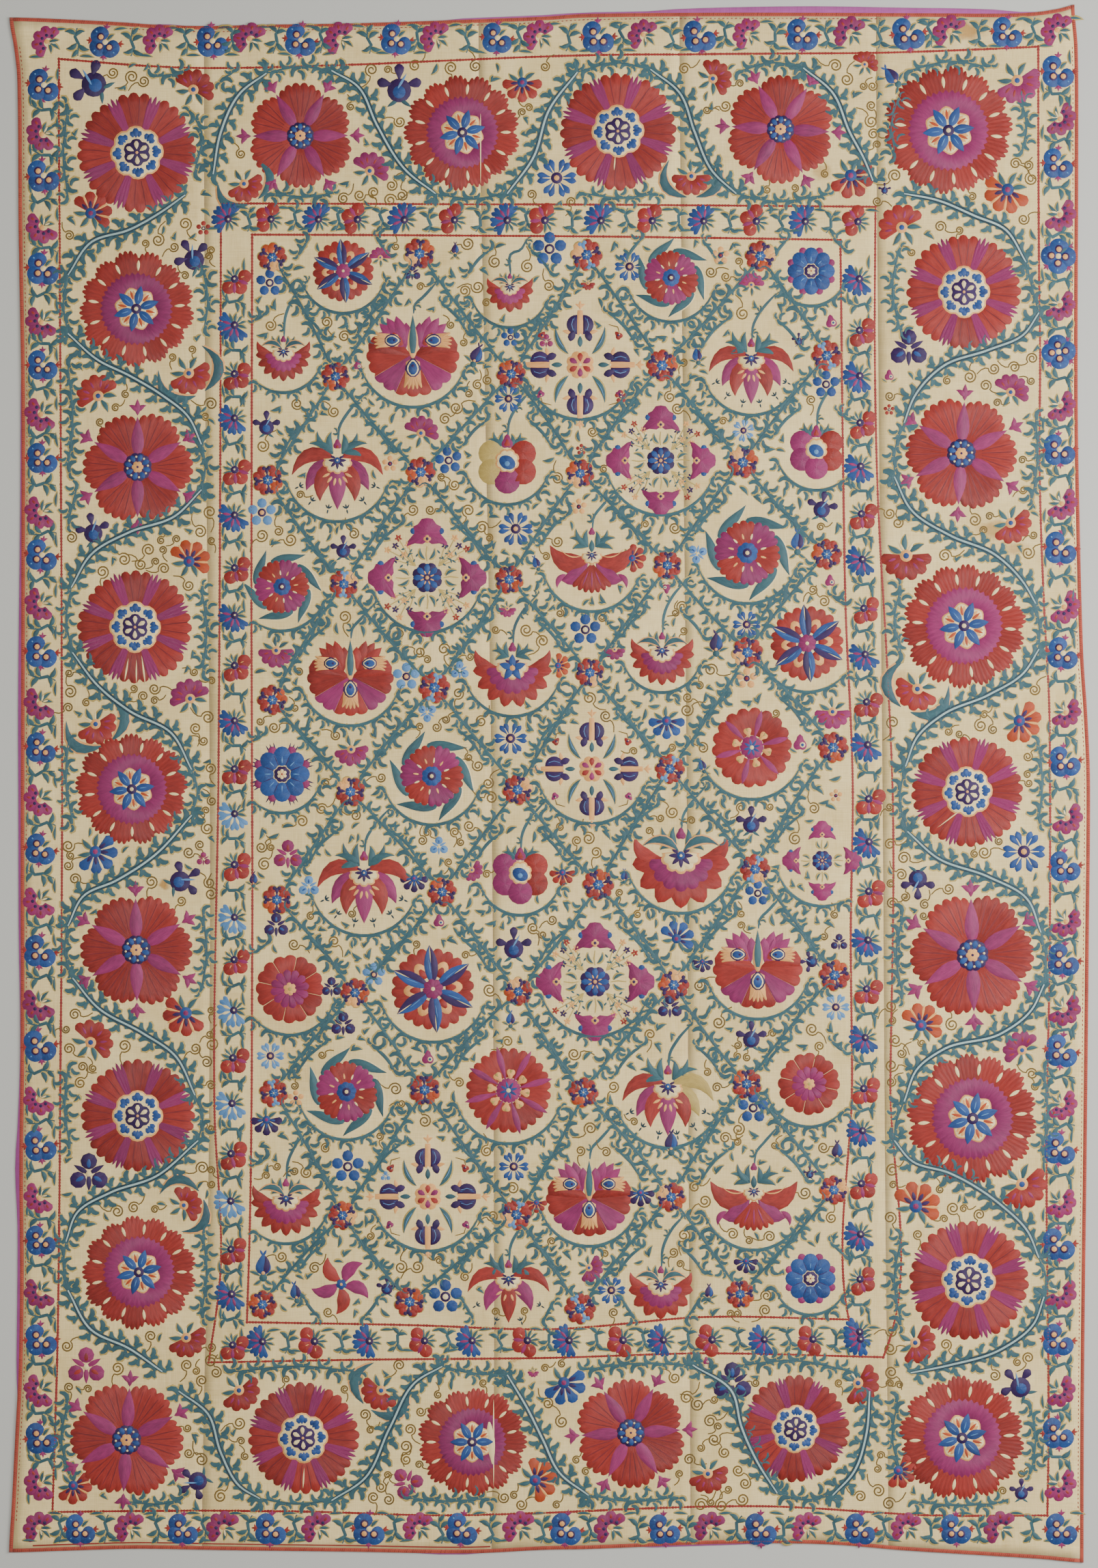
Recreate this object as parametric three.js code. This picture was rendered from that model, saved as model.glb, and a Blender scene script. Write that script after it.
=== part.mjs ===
// Large embroidered cotton hanging (suzani), laid out flat, in millimetres.
// X runs across the cloth, Y along its length and Z up. The origin is the middle of the
// outline, at the level on which the cloth lies.
//
// Five strips of handwoven cotton are seamed side by side. They lie on one lining, which
// shows as a lip past some edges, and a narrow braid is sewn round all four sides.

import * as THREE from 'three';
import { mergeVertices } from 'three/addons/utils/BufferGeometryUtils.js';

// Driving dimensions

const MIDDLE_X = 5.2;            // middle of the outline, in the coordinates of the tables below
const MIDDLE_Y = -1.4;
const GAP = 0.3;                 // space between neighbouring pieces
const LINING_THICKNESS = 1.0;
const GROUND_THICKNESS = 1.1;    // cotton with its embroidery
const BRAID_WIDTH = 5.5;
const BRAID_EDGE_THICKNESS = 0.9;
const BRAID_CROWN = 0.5;         // how far the middle of the braid stands over its edges
const PUCKER_HEIGHT = 1.1;       // mean lift of the ground cloth over the lining
const PUCKER_LENGTH = 290;       // from one pucker to the next along a seam
const PUCKER_EASE = 60;          // the cloth is held down this near to a seam or edge
const STEP_ALONG = 57;           // spacing of the grid that carries the puckers
const STEP_ACROSS = 62;
const STEP_LINING = 30;

// Outline of the braid's outer edge. Each row is a place along the side and where the
// edge stands there, because no side of the old cloth is straight.

const LEFT_EDGE = [
  { y: -1199, x: -826 }, { y: -1100, x: -821 }, { y: -1000, x: -816 }, { y: -900, x: -811 },
  { y: -760, x: -809 }, { y: -590, x: -810 }, { y: -400, x: -808 }, { y: -100, x: -808 },
  { y: 300, x: -807 }, { y: 600, x: -807 }, { y: 850, x: -811 }, { y: 1080, x: -813 },
  { y: 1130, x: -818 }, { y: 1176, x: -825 },
];
const RIGHT_EDGE = [
  { y: -1199, x: 826 }, { y: -900, x: 827 }, { y: -550, x: 831 }, { y: -250, x: 834 },
  { y: 0, x: 836 }, { y: 100, x: 832 }, { y: 200, x: 825.5 }, { y: 400, x: 820 },
  { y: 600, x: 817 }, { y: 1000, x: 818 }, { y: 1130, x: 817 }, { y: 1196, x: 812 },
];
const TOP_EDGE = [
  { x: -826, y: 1176 }, { x: -735, y: 1173 }, { x: -650, y: 1168.5 }, { x: -600, y: 1165 },
  { x: -525, y: 1163 }, { x: -430, y: 1165 }, { x: -300, y: 1167 }, { x: -200, y: 1170 },
  { x: -100, y: 1173.5 }, { x: 0, y: 1177.5 }, { x: 60, y: 1181.5 }, { x: 300, y: 1183.5 },
  { x: 600, y: 1182.5 }, { x: 700, y: 1182 }, { x: 750, y: 1184 }, { x: 790, y: 1190 },
  { x: 812, y: 1196 }, { x: 836, y: 1199 },
];
const BOTTOM_EDGE = [
  { x: -826, y: -1183 }, { x: -740, y: -1180.5 }, { x: -630, y: -1177.5 },
  { x: -500, y: -1179.5 }, { x: -300, y: -1182 }, { x: -120, y: -1184.5 },
  { x: 0, y: -1179 }, { x: 60, y: -1178 }, { x: 150, y: -1174.5 }, { x: 230, y: -1171 },
  { x: 350, y: -1169 }, { x: 450, y: -1171.5 }, { x: 545, y: -1179.5 },
  { x: 680, y: -1188 }, { x: 760, y: -1193 }, { x: 836, y: -1199 },
];

// How far the lining reaches past the braid; it is hidden where this is negative

const HIDDEN = -1.2;
const LINING_PAST_LEFT = [
  { y: -1199, past: HIDDEN }, { y: -965, past: HIDDEN }, { y: -900, past: 3.5 },
  { y: -760, past: 4 }, { y: -680, past: 3.5 }, { y: -590, past: 6.5 }, { y: -520, past: 3 },
  { y: -400, past: 0.8 }, { y: -240, past: 3 }, { y: -60, past: 3.5 }, { y: 100, past: 4.5 },
  { y: 210, past: 4 }, { y: 420, past: 2 }, { y: 600, past: 1 }, { y: 660, past: HIDDEN },
  { y: 1196, past: HIDDEN },
];
const LINING_PAST_TOP = [
  { x: -826, past: HIDDEN }, { x: -625, past: HIDDEN }, { x: -590, past: 3 },
  { x: -560, past: HIDDEN }, { x: -185, past: HIDDEN }, { x: -140, past: 2 },
  { x: 60, past: 2.5 }, { x: 160, past: 3 }, { x: 210, past: 6.5 }, { x: 400, past: 10 },
  { x: 550, past: 8.5 }, { x: 690, past: 6.5 }, { x: 760, past: HIDDEN },
  { x: 836, past: HIDDEN },
];
const LINING_PAST_BOTTOM = [
  { x: -826, past: HIDDEN }, { x: -225, past: HIDDEN }, { x: -190, past: 1.5 },
  { x: -100, past: 1.5 }, { x: -70, past: HIDDEN }, { x: 125, past: HIDDEN },
  { x: 170, past: 2 }, { x: 320, past: 1.5 }, { x: 350, past: HIDDEN }, { x: 836, past: HIDDEN },
];

// Seams between the five strips, from left to right, each a line that wanders a little

const SEAMS = [
  [{ y: -1199, x: -529 }, { y: -600, x: -519 }, { y: 0, x: -517 }, { y: 600, x: -524 },
    { y: 1196, x: -526 }],
  [{ y: -1199, x: -84 }, { y: -900, x: -80 }, { y: 0, x: -84 }, { y: 600, x: -94 },
    { y: 1196, x: -104 }],
  [{ y: -1199, x: 222 }, { y: -600, x: 219 }, { y: 0, x: 216 }, { y: 600, x: 210 },
    { y: 1196, x: 205 }],
  [{ y: -1199, x: 526 }, { y: -600, x: 521 }, { y: 0, x: 517 }, { y: 600, x: 511 },
    { y: 1196, x: 507 }],
];

// Heights of the layers

const GROUND_FLOOR = LINING_THICKNESS + GAP;

// A smooth curve through the rows of a table: the value in column `read` where column `key` is `at`

function along(table, key, read, at) {
  const last = table.length - 1;
  const clamped = THREE.MathUtils.clamp(at, table[0][key], table[last][key]);
  let row = 0;
  while (row < last - 1 && table[row + 1][key] < clamped) row += 1;
  const slope = (i) => {
    if (i === 0 || i === last) return 0;
    return (table[i + 1][read] - table[i - 1][read]) / (table[i + 1][key] - table[i - 1][key]);
  };
  const span = table[row + 1][key] - table[row][key];
  const t = (clamped - table[row][key]) / span;
  const s = t * t * (3 - 2 * t);
  const startPull = t * (1 - t) * (1 - t) * slope(row) * span;
  const endPull = t * t * (t - 1) * slope(row + 1) * span;
  return THREE.MathUtils.lerp(table[row][read], table[row + 1][read], s) + startPull + endPull;
}

const leftEdge = (y) => along(LEFT_EDGE, 'y', 'x', y);
const rightEdge = (y) => along(RIGHT_EDGE, 'y', 'x', y);
const topEdge = (x) => along(TOP_EDGE, 'x', 'y', x);
const bottomEdge = (x) => along(BOTTOM_EDGE, 'x', 'y', x);
const seam = (i, y) => along(SEAMS[i], 'y', 'x', y);

// A point of the cloth from a share across (0 at the left line, 1 at the right line) and a
// share along (0 at the bottom line, 1 at the top line). The lines bend, so it is found by
// going back and forth a few times.

function pointBetween(left, right, bottom, top, across, length) {
  let x = THREE.MathUtils.lerp(left(0), right(0), across);
  let y = 0;
  for (let round = 0; round < 5; round += 1) {
    y = THREE.MathUtils.lerp(bottom(x), top(x), length);
    x = THREE.MathUtils.lerp(left(y), right(y), across);
  }
  return { x, y };
}

// Puckers of the ground cloth: it lies on the lining at every seam and edge, and between
// them it stands off in long soft swells, which run crosswise and drift from strip to strip

function lift(x, y, left, right, bottom, top) {
  const nearest = Math.min(x - left(y), right(y) - x, y - bottom(x), top(x) - y);
  const free = THREE.MathUtils.smoothstep(nearest, 0, PUCKER_EASE);
  const phase = (2 * Math.PI * y) / PUCKER_LENGTH;
  const swell = Math.sin(phase + x / 95) + 0.6 * Math.sin(0.61 * phase - x / 140 + 1.3);
  return PUCKER_HEIGHT * free * (1 + 0.6 * swell);
}

// A closed sheet: a box with a fine grid, each point sent to its place by `place(across,
// length, level)`, where level is 0 on the underside and 1 on top

function closedSheet(stepsAcross, stepsAlong, place) {
  const box = new THREE.BoxGeometry(1, 1, 1, stepsAcross, stepsAlong, 1);
  box.deleteAttribute('normal');
  box.deleteAttribute('uv');
  const sheet = mergeVertices(box, 1e-4);
  const points = sheet.getAttribute('position');
  for (let i = 0; i < points.count; i += 1) {
    const p = place(points.getX(i) + 0.5, points.getY(i) + 0.5, points.getZ(i) + 0.5);
    points.setXYZ(i, p.x - MIDDLE_X, p.y - MIDDLE_Y, p.z);
  }
  return sheet;
}

function material(name, color, roughness) {
  const made = new THREE.MeshStandardMaterial({ color, roughness, metalness: 0 });
  made.name = name;
  return made;
}

function piece(name, geometry, finish) {
  const mesh = new THREE.Mesh(geometry, finish);
  mesh.name = name;
  return mesh;
}

const cloth = new THREE.Group();
cloth.name = 'suzani';

// Lining: one flat sheet with the outline of the braid, let out where its lip shows

function liningOutline() {
  const inset = -HIDDEN;
  const left = (y) => leftEdge(y) - along(LINING_PAST_LEFT, 'y', 'past', y);
  const right = (y) => rightEdge(y) - inset;
  const bottom = (x) => bottomEdge(x) - along(LINING_PAST_BOTTOM, 'x', 'past', x);
  const top = (x) => topEdge(x) + along(LINING_PAST_TOP, 'x', 'past', x);
  const corner = (across, length) => pointBetween(left, right, bottom, top, across, length);
  const stepsWide = Math.round((rightEdge(0) - leftEdge(0)) / STEP_LINING);
  const stepsLong = Math.round((topEdge(0) - bottomEdge(0)) / STEP_LINING);
  const ring = [];
  for (let i = 0; i < stepsWide; i += 1) ring.push(corner(i / stepsWide, 0));
  for (let i = 0; i < stepsLong; i += 1) ring.push(corner(1, i / stepsLong));
  for (let i = stepsWide; i > 0; i -= 1) ring.push(corner(i / stepsWide, 1));
  for (let i = stepsLong; i > 0; i -= 1) ring.push(corner(0, i / stepsLong));
  return ring.map((p) => new THREE.Vector2(p.x - MIDDLE_X, p.y - MIDDLE_Y));
}

const liningShape = new THREE.ExtrudeGeometry(new THREE.Shape(liningOutline()), {
  depth: LINING_THICKNESS,
  bevelEnabled: false,
  steps: 1,
});
cloth.add(piece('lining', liningShape, material('lining_cotton', 0xb4509c, 0.9)));

// Ground strips: each fills the space between its two seams, inside the braid

const braidInside = BRAID_WIDTH + GAP;
const groundLeft = (y) => leftEdge(y) + braidInside;
const groundRight = (y) => rightEdge(y) - braidInside;
const groundBottom = (x) => bottomEdge(x) + braidInside;
const groundTop = (x) => topEdge(x) - braidInside;
const STRIPS = SEAMS.length + 1;
const ROWS = Math.round((groundTop(0) - groundBottom(0)) / STEP_ALONG);

function stripLines(index) {
  const left = index === 0 ? groundLeft : (y) => seam(index - 1, y) + GAP / 2;
  const right = index === STRIPS - 1 ? groundRight : (y) => seam(index, y) - GAP / 2;
  return { left, right, columns: Math.round((right(0) - left(0)) / STEP_ACROSS) };
}

function groundStrip(index) {
  const { left, right, columns } = stripLines(index);
  return closedSheet(columns, ROWS, (across, length, level) => {
    const { x, y } = pointBetween(left, right, groundBottom, groundTop, across, length);
    const underside = GROUND_FLOOR + lift(x, y, left, right, groundBottom, groundTop);
    return { x, y, z: underside + level * GROUND_THICKNESS };
  });
}

for (let index = 0; index < STRIPS; index += 1) {
  const finish = material('ground_cotton', 0xcdc3a0, 0.92);
  cloth.add(piece(`ground_${index + 1}`, groundStrip(index), finish));
}

// Braid: two long runs down the sides, and the top and bottom runs between them. Its top
// is crowned, and its underside lies over the lining. A run bends at the same places as
// the edge of the ground cloth beside it, so the space between them stays even.

const STEPS_BRAID_ACROSS = 2;

function crowned(across, level) {
  const crown = BRAID_CROWN * Math.sin(Math.PI * across);
  return GROUND_FLOOR + level * (BRAID_EDGE_THICKNESS + crown);
}

function sideBraid(outer, toInside) {
  const inner = (y) => outer(y) + toInside * BRAID_WIDTH;
  const [left, right] = toInside > 0 ? [outer, inner] : [inner, outer];
  const beside = (y) => outer(y) + toInside * braidInside;
  const heightOfRow = (row, x) => {
    if (row < 0) return bottomEdge(x);
    if (row > ROWS) return topEdge(x);
    return pointBetween(beside, beside, groundBottom, groundTop, 0, row / ROWS).y;
  };
  return closedSheet(STEPS_BRAID_ACROSS, ROWS + 2, (across, length, level) => {
    const row = Math.round(length * (ROWS + 2)) - 1;
    const y = heightOfRow(row, outer(0));
    const x = THREE.MathUtils.lerp(left(y), right(y), across);
    return { x, y: heightOfRow(row, x), z: crowned(across, level) };
  });
}

function endBraid(outer, toInside, length) {
  const inner = (x) => outer(x) + toInside * BRAID_WIDTH;
  const [bottom, top] = toInside > 0 ? [outer, inner] : [inner, outer];
  const stations = [];
  for (let index = 0; index < STRIPS; index += 1) {
    const { left, right, columns } = stripLines(index);
    for (let i = index === 0 ? 0 : 1; i <= columns; i += 1) {
      stations.push(pointBetween(left, right, groundBottom, groundTop, i / columns, length).x);
    }
  }
  const steps = stations.length - 1;
  return closedSheet(steps, STEPS_BRAID_ACROSS, (across, width, level) => {
    const x = stations[Math.round(across * steps)];
    return { x, y: THREE.MathUtils.lerp(bottom(x), top(x), width), z: crowned(width, level) };
  });
}

const braidRuns = {
  braid_left: sideBraid(leftEdge, 1),
  braid_right: sideBraid(rightEdge, -1),
  braid_top: endBraid(topEdge, -1, 1),
  braid_bottom: endBraid(bottomEdge, 1, 0),
};
for (const [name, shape] of Object.entries(braidRuns)) {
  cloth.add(piece(name, shape, material('edge_braid', 0xb6533d, 0.85)));
}

export default cloth;
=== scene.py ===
# %% [markdown]
# # A suzani: an embroidered cotton cloth, spread out flat
# The real thing is a large cover of long strips of cotton, seamed side by side, lined with pink
# cotton and bound with a narrow orange-red braid. Its whole face is worked in coloured thread,
# taken here to be silk: big red rosettes in the border, a lattice of leafy stems in the field, and
# a flower in every diamond. Everything below is drawn in millimetres on the table on which the
# cloth lies, with X across the strips and Y towards the top edge, and is only turned to metres at
# the very end. The millimetres rest on one estimate: the width of a strip of such cloth.

# %% Start
import math
import random

import bpy
import numpy as np
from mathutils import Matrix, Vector


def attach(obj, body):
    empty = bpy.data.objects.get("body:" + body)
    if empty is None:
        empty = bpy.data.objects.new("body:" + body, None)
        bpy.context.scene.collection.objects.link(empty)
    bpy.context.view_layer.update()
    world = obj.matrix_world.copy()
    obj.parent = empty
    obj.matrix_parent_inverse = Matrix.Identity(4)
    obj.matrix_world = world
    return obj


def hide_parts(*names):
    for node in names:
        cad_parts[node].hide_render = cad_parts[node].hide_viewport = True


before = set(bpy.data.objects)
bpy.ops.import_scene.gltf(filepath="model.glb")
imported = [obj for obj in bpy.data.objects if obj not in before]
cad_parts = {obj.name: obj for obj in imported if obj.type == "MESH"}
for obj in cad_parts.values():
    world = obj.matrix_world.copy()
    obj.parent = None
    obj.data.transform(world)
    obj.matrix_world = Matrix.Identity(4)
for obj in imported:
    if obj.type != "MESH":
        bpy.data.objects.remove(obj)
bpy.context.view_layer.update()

# %% [markdown]
# ## Small helpers
# Colours are written as sRGB hex, the way a painter picks them on a screen, while Blender's nodes
# want linear light. One function turns the first into the second. Another adds a node with its
# settings and links in one line, which keeps the material and geometry trees readable.

# %% Colours and nodes
def linear(hex_code):
    """An sRGB hex colour as the linear colour that Blender's nodes want."""
    parts = [int(hex_code[i:i + 2], 16) / 255 for i in (0, 2, 4)]
    return [p / 12.92 if p <= 0.04045 else ((p + 0.055) / 1.055) ** 2.4 for p in parts] + [1.0]


ADD_SHARE = {"operation": "MULTIPLY_ADD"}      # settings that come back in many nodes
TIMES = {"operation": "MULTIPLY"}
COLOURS = {"data_type": "RGBA"}
WAVE = 0.314159                    # a wave texture repeats each WAVE / scale units


def add_node(tree, kind, settings=None, **inputs):
    """Adds a node. Inputs are named with _ for a space, and are values, sockets or whole nodes,
    which stand for their first output."""
    node = tree.nodes.new(kind)
    for name, value in (settings or {}).items():
        setattr(node, name, value)
    for name, value in inputs.items():
        key = int(name[1:]) if name[0] == "i" and name[1:].isdigit() else name.replace("_", " ")
        socket = node.inputs[key]
        if isinstance(value, bpy.types.Node):
            value = value.outputs[0]
        if isinstance(value, bpy.types.NodeSocket):
            tree.links.new(value, socket)
        else:
            socket.default_value = value
    return node


def add_object(name, data):
    """A new object in the scene, at the origin."""
    made = bpy.data.objects.new(name, data)
    bpy.context.collection.objects.link(made)
    return made


# %% [markdown]
# ## The camera
# The cloth was photographed from straight above, so the camera hangs six metres up and looks down,
# with the cloth's top edge at the top of the picture. It is placed first, because every later
# choice of detail depends on how much one pixel shows: here a millimetre of cloth.

# %% Camera
CAMERA_HEIGHT = 6.0
SENSOR = 36
VIEW_LENGTH = 2.4108       # what the long side of the picture spans on the table, in metres
VIEW_MIDDLE = (-0.001, -0.0007)

camera_data = bpy.data.cameras.new("camera above the table")
camera_data.sensor_width = SENSOR
camera_data.lens = SENSOR * CAMERA_HEIGHT / VIEW_LENGTH
camera = add_object("camera above the table", camera_data)
camera.location = (*VIEW_MIDDLE, CAMERA_HEIGHT)
bpy.context.scene.camera = camera
print("lens", round(camera_data.lens, 1), "mm")

# %% [markdown]
# ## The outline of the cloth
# No side of an old cloth is straight. A side is a short table of places along it and where the edge
# stands there, and a smooth curve runs through the rows. The same tables shape the CAD solids, so
# the cloth drawn here lies in the same place as they do.

# %% Tables of the edges and seams, in millimetres
MIDDLE = np.array([5.2, -1.4])     # middle of the outline in the coordinates of the tables
GAP = 0.3                          # between two strips, and between cotton and braid
BRAID_WIDTH = 5.5
BRAID_INSIDE = BRAID_WIDTH + GAP
LINING_THICKNESS = 1.0
GROUND_FLOOR = 1.3
GROUND_THICKNESS = 1.1
HIDDEN = -1.2                      # the lining ends under the braid where it doesn't show


def paths(text):
    """Paths of points that are written as text: one path a line, its points parted by commas."""
    return [[tuple(map(float, point.split())) for point in row.split(",")]
            for row in text.strip().splitlines()]


def rows_of(text):
    """One table of (place, value) rows, in as many lines of text as it needs."""
    return paths(text.replace("hidden", str(HIDDEN)).replace("\n", " "))[0]


LEFT_EDGE = rows_of("""
-1199 -826, -1100 -821, -1000 -816, -900 -811, -760 -809, -590 -810, -400 -808, -100 -808,
300 -807, 600 -807, 850 -811, 1080 -813, 1130 -818, 1176 -825
""")
RIGHT_EDGE = rows_of("""
-1199 826, -900 827, -550 831, -250 834, 0 836, 100 832, 200 825.5, 400 820, 600 817, 1000 818,
1130 817, 1196 812
""")
TOP_EDGE = rows_of("""
-826 1176, -735 1173, -650 1168.5, -600 1165, -525 1163, -430 1165, -300 1167, -200 1170,
-100 1173.5, 0 1177.5, 60 1181.5, 300 1183.5, 600 1182.5, 700 1182, 750 1184, 790 1190, 812 1196,
836 1199
""")
BOTTOM_EDGE = rows_of("""
-826 -1183, -740 -1180.5, -630 -1177.5, -500 -1179.5, -300 -1182, -120 -1184.5, 0 -1179, 60 -1178,
150 -1174.5, 230 -1171, 350 -1169, 450 -1171.5, 545 -1179.5, 680 -1188, 760 -1193, 836 -1199
""")
LINING_PAST_LEFT = rows_of("""
-1199 hidden, -965 hidden, -900 3.5, -760 4, -680 3.5, -590 6.5, -520 3, -400 0.8, -240 3,
-60 3.5, 100 4.5, 210 4, 420 2, 600 1, 660 hidden, 1196 hidden
""")
LINING_PAST_TOP = rows_of("""
-826 hidden, -625 hidden, -590 3, -560 hidden, -185 hidden, -140 2, 60 2.5, 160 3, 210 6.5,
400 10, 550 8.5, 690 6.5, 760 hidden, 836 hidden
""")
LINING_PAST_BOTTOM = rows_of("""
-826 hidden, -225 hidden, -190 1.5, -100 1.5, -70 hidden, 125 hidden, 170 2, 320 1.5,
350 hidden, 836 hidden
""")
SEAMS = paths("""
-1199 -529, -600 -519, 0 -517, 600 -524, 1196 -526
-1199 -84, -900 -80, 0 -84, 600 -94, 1196 -104
-1199 222, -600 219, 0 216, 600 210, 1196 205
-1199 526, -600 521, 0 517, 600 511, 1196 507
""")


# %% Smooth lines through the tables
def eased(start, end, slope_start, slope_end, span, t):
    """Values at shares t of a span, from start to end, with a slope at each of them."""
    s = t * t * (3 - 2 * t)
    pull = t * (1 - t) ** 2 * slope_start + t * t * (t - 1) * slope_end
    return start * (1 - s) + end * s + pull * span


def line_through(rows):
    """A smooth line through (place, value) rows, which leaves level at both ends."""
    place, value = np.array(rows, float).T
    slope = np.zeros(len(place))
    slope[1:-1] = (value[2:] - value[:-2]) / (place[2:] - place[:-2])

    def read(at):
        at = np.clip(at, place[0], place[-1])
        i = np.clip(np.searchsorted(place, at, side="right") - 1, 0, len(place) - 2)
        span = place[i + 1] - place[i]
        return eased(value[i], value[i + 1], slope[i], slope[i + 1], span, (at - place[i]) / span)

    return read


left_edge, right_edge, top_edge, bottom_edge = map(
    line_through, (LEFT_EDGE, RIGHT_EDGE, TOP_EDGE, BOTTOM_EDGE))
past_left, past_top, past_bottom, *seams = map(
    line_through, (LINING_PAST_LEFT, LINING_PAST_TOP, LINING_PAST_BOTTOM, *SEAMS))


def inset(edge, distance):
    """The same edge, moved by a distance."""
    return lambda at: edge(at) + distance


ground_left, ground_bottom = inset(left_edge, BRAID_INSIDE), inset(bottom_edge, BRAID_INSIDE)
ground_right, ground_top = inset(right_edge, -BRAID_INSIDE), inset(top_edge, -BRAID_INSIDE)


def points_between(left, right, bottom, top, across, along):
    """Points inside four bent sides, from shares across (0 to 1) and along (0 to 1)."""
    x = left(np.zeros_like(across)) * (1 - across) + right(np.zeros_like(across)) * across
    y = np.zeros_like(x)
    for _ in range(5):     # the sides bend, so it settles in a few rounds
        y = bottom(x) * (1 - along) + top(x) * along
        x = left(y) * (1 - across) + right(y) * across
    return x, y


# %% [markdown]
# ## How high the cloth lies
# A lined cloth is held down along its seams and edges and stands a little off the lining in
# between, in long soft swells, with a few creases from folding on top of that. Their heights can't
# be read from the photo and are guessed. Both are one function of the place on the table, so that
# the cotton and every stitch on it can ask the same function how high they lie, and nothing floats
# or sinks in.

# %% Height of the cloth's face
PUCKER_HEIGHT = 1.1
PUCKER_LENGTH = 290
PUCKER_EASE = 60

# Creases: where each starts and ends, half its width and its height, all in millimetres
CREASES = [
    ((-700, 20), (700, -20), 26, 0.9), ((-760, 620), (-120, 588), 30, 0.7),
    ((140, 640), (790, 655), 28, 0.8), ((-770, -600), (-90, -575), 30, 0.8),
    ((60, -566), (770, -590), 30, 0.7), ((-300, 1120), (-345, -1080), 34, 0.6),
    ((366, 1130), (352, -1100), 34, 0.7), ((60, 1100), (74, 300), 24, -0.4),
    ((-660, 1090), (-720, 820), 30, 0.9), ((660, -840), (740, -1130), 32, 1.0),
    ((-760, -930), (-600, -1130), 30, 0.9), ((560, 900), (760, 1120), 34, 0.8),
    ((-480, -250), (-200, -420), 36, 0.5), ((200, 300), (480, 120), 36, 0.5),
]
HELD = 34                          # how far from a seam or an edge a crease is held down, in mm


def smooth_share(value, end):
    t = np.clip(value / end, 0, 1)
    return t * t * (3 - 2 * t)


def crease_height(x, y):
    height = np.zeros_like(x)
    for (x0, y0), (x1, y1), half_width, rise in CREASES:
        length = math.hypot(x1 - x0, y1 - y0)
        ux, uy = (x1 - x0) / length, (y1 - y0) / length
        along = (x - x0) * ux + (y - y0) * uy
        wander = 9 * np.sin(along / 75 + x0) + 5 * np.sin(along / 31 + y0)
        aside = (x - x0) * -uy + (y - y0) * ux + wander
        fade = smooth_share(along + 40, 120) * smooth_share(length + 40 - along, 120)
        uneven = 0.75 + 0.25 * np.sin(along / 52 + x1)
        height += rise * uneven * fade * np.exp(-(aside / half_width) ** 2)
    return height


def cloth_height(x, y):
    """Height of the ground cotton's face over the table, in millimetres."""
    sides = [ground_left(y), *[seam(y) for seam in seams], ground_right(y)]
    nearest = np.min([np.abs(x - side) for side in sides], axis=0)
    nearest = np.minimum(nearest, np.minimum(y - ground_bottom(x), ground_top(x) - y))
    free = smooth_share(nearest, PUCKER_EASE)
    phase = 2 * math.pi * y / PUCKER_LENGTH
    swell = np.sin(phase + x / 95) + 0.6 * np.sin(0.61 * phase - x / 140 + 1.3)
    lift = PUCKER_HEIGHT * free * (1 + 0.6 * swell)
    held = 0.15 + 0.85 * smooth_share(nearest, HELD)
    return GROUND_FLOOR + GROUND_THICKNESS + lift + crease_height(x, y) * held


# %% [markdown]
# ## From tables to meshes
# A sheet is a grid with a face, a back and four edges. Blender counts in metres with the middle of
# the cloth at the origin, so the last step shifts and shrinks the table's millimetres.

# %% Meshes
def to_metres(points):
    """Table millimetres (N, 3) to metres in the shared frame."""
    moved = np.array(points, float)
    moved[:, :2] -= MIDDLE
    return moved / 1000


def mesh_object(name, metres, faces, material=None, corner_uv=None):
    """A smooth mesh object at the origin, with a "thread" UV map if its corners have a place."""
    mesh = bpy.data.meshes.new(name)
    mesh.from_pydata(metres.tolist(), [], faces)
    if corner_uv is not None:
        layer = mesh.uv_layers.new(name="thread")
        layer.data.foreach_set("uv", np.asarray(corner_uv, np.float32).ravel())
    mesh.polygons.foreach_set("use_smooth", [True] * len(mesh.polygons))
    if material:
        mesh.materials.append(material)
    mesh.update()
    return add_object(name, mesh)


def grid_faces(rows, columns, start=0, flip=False):
    """Quads of a grid whose points run row by row."""
    i = np.arange((rows - 1) * (columns - 1))
    corner = start + i // (columns - 1) * columns + i % (columns - 1)
    quads = np.column_stack((corner, corner + 1, corner + 1 + columns, corner + columns))
    return (quads[:, ::-1] if flip else quads).tolist()


def closed_sheet(name, rows, columns, place, material):
    """A closed sheet: place(across, along) gives x, y, height of the back and of the face."""
    along, across = np.meshgrid(np.linspace(0, 1, rows), np.linspace(0, 1, columns), indexing="ij")
    x, y, back, face = place(across.ravel(), along.ravel())
    points = np.concatenate((np.column_stack((x, y, face)), np.column_stack((x, y, back))))
    count = rows * columns
    faces = grid_faces(rows, columns) + grid_faces(rows, columns, count, flip=True)
    rim = list(range(columns)) + [r * columns + columns - 1 for r in range(1, rows)]
    rim += [(rows - 1) * columns + c for c in range(columns - 2, -1, -1)]
    rim += [r * columns for r in range(rows - 2, 0, -1)]
    faces += [(a, a + count, b + count, b) for a, b in zip(rim, rim[1:] + rim[:1])]
    return mesh_object(name, to_metres(points), faces, material)
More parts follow.
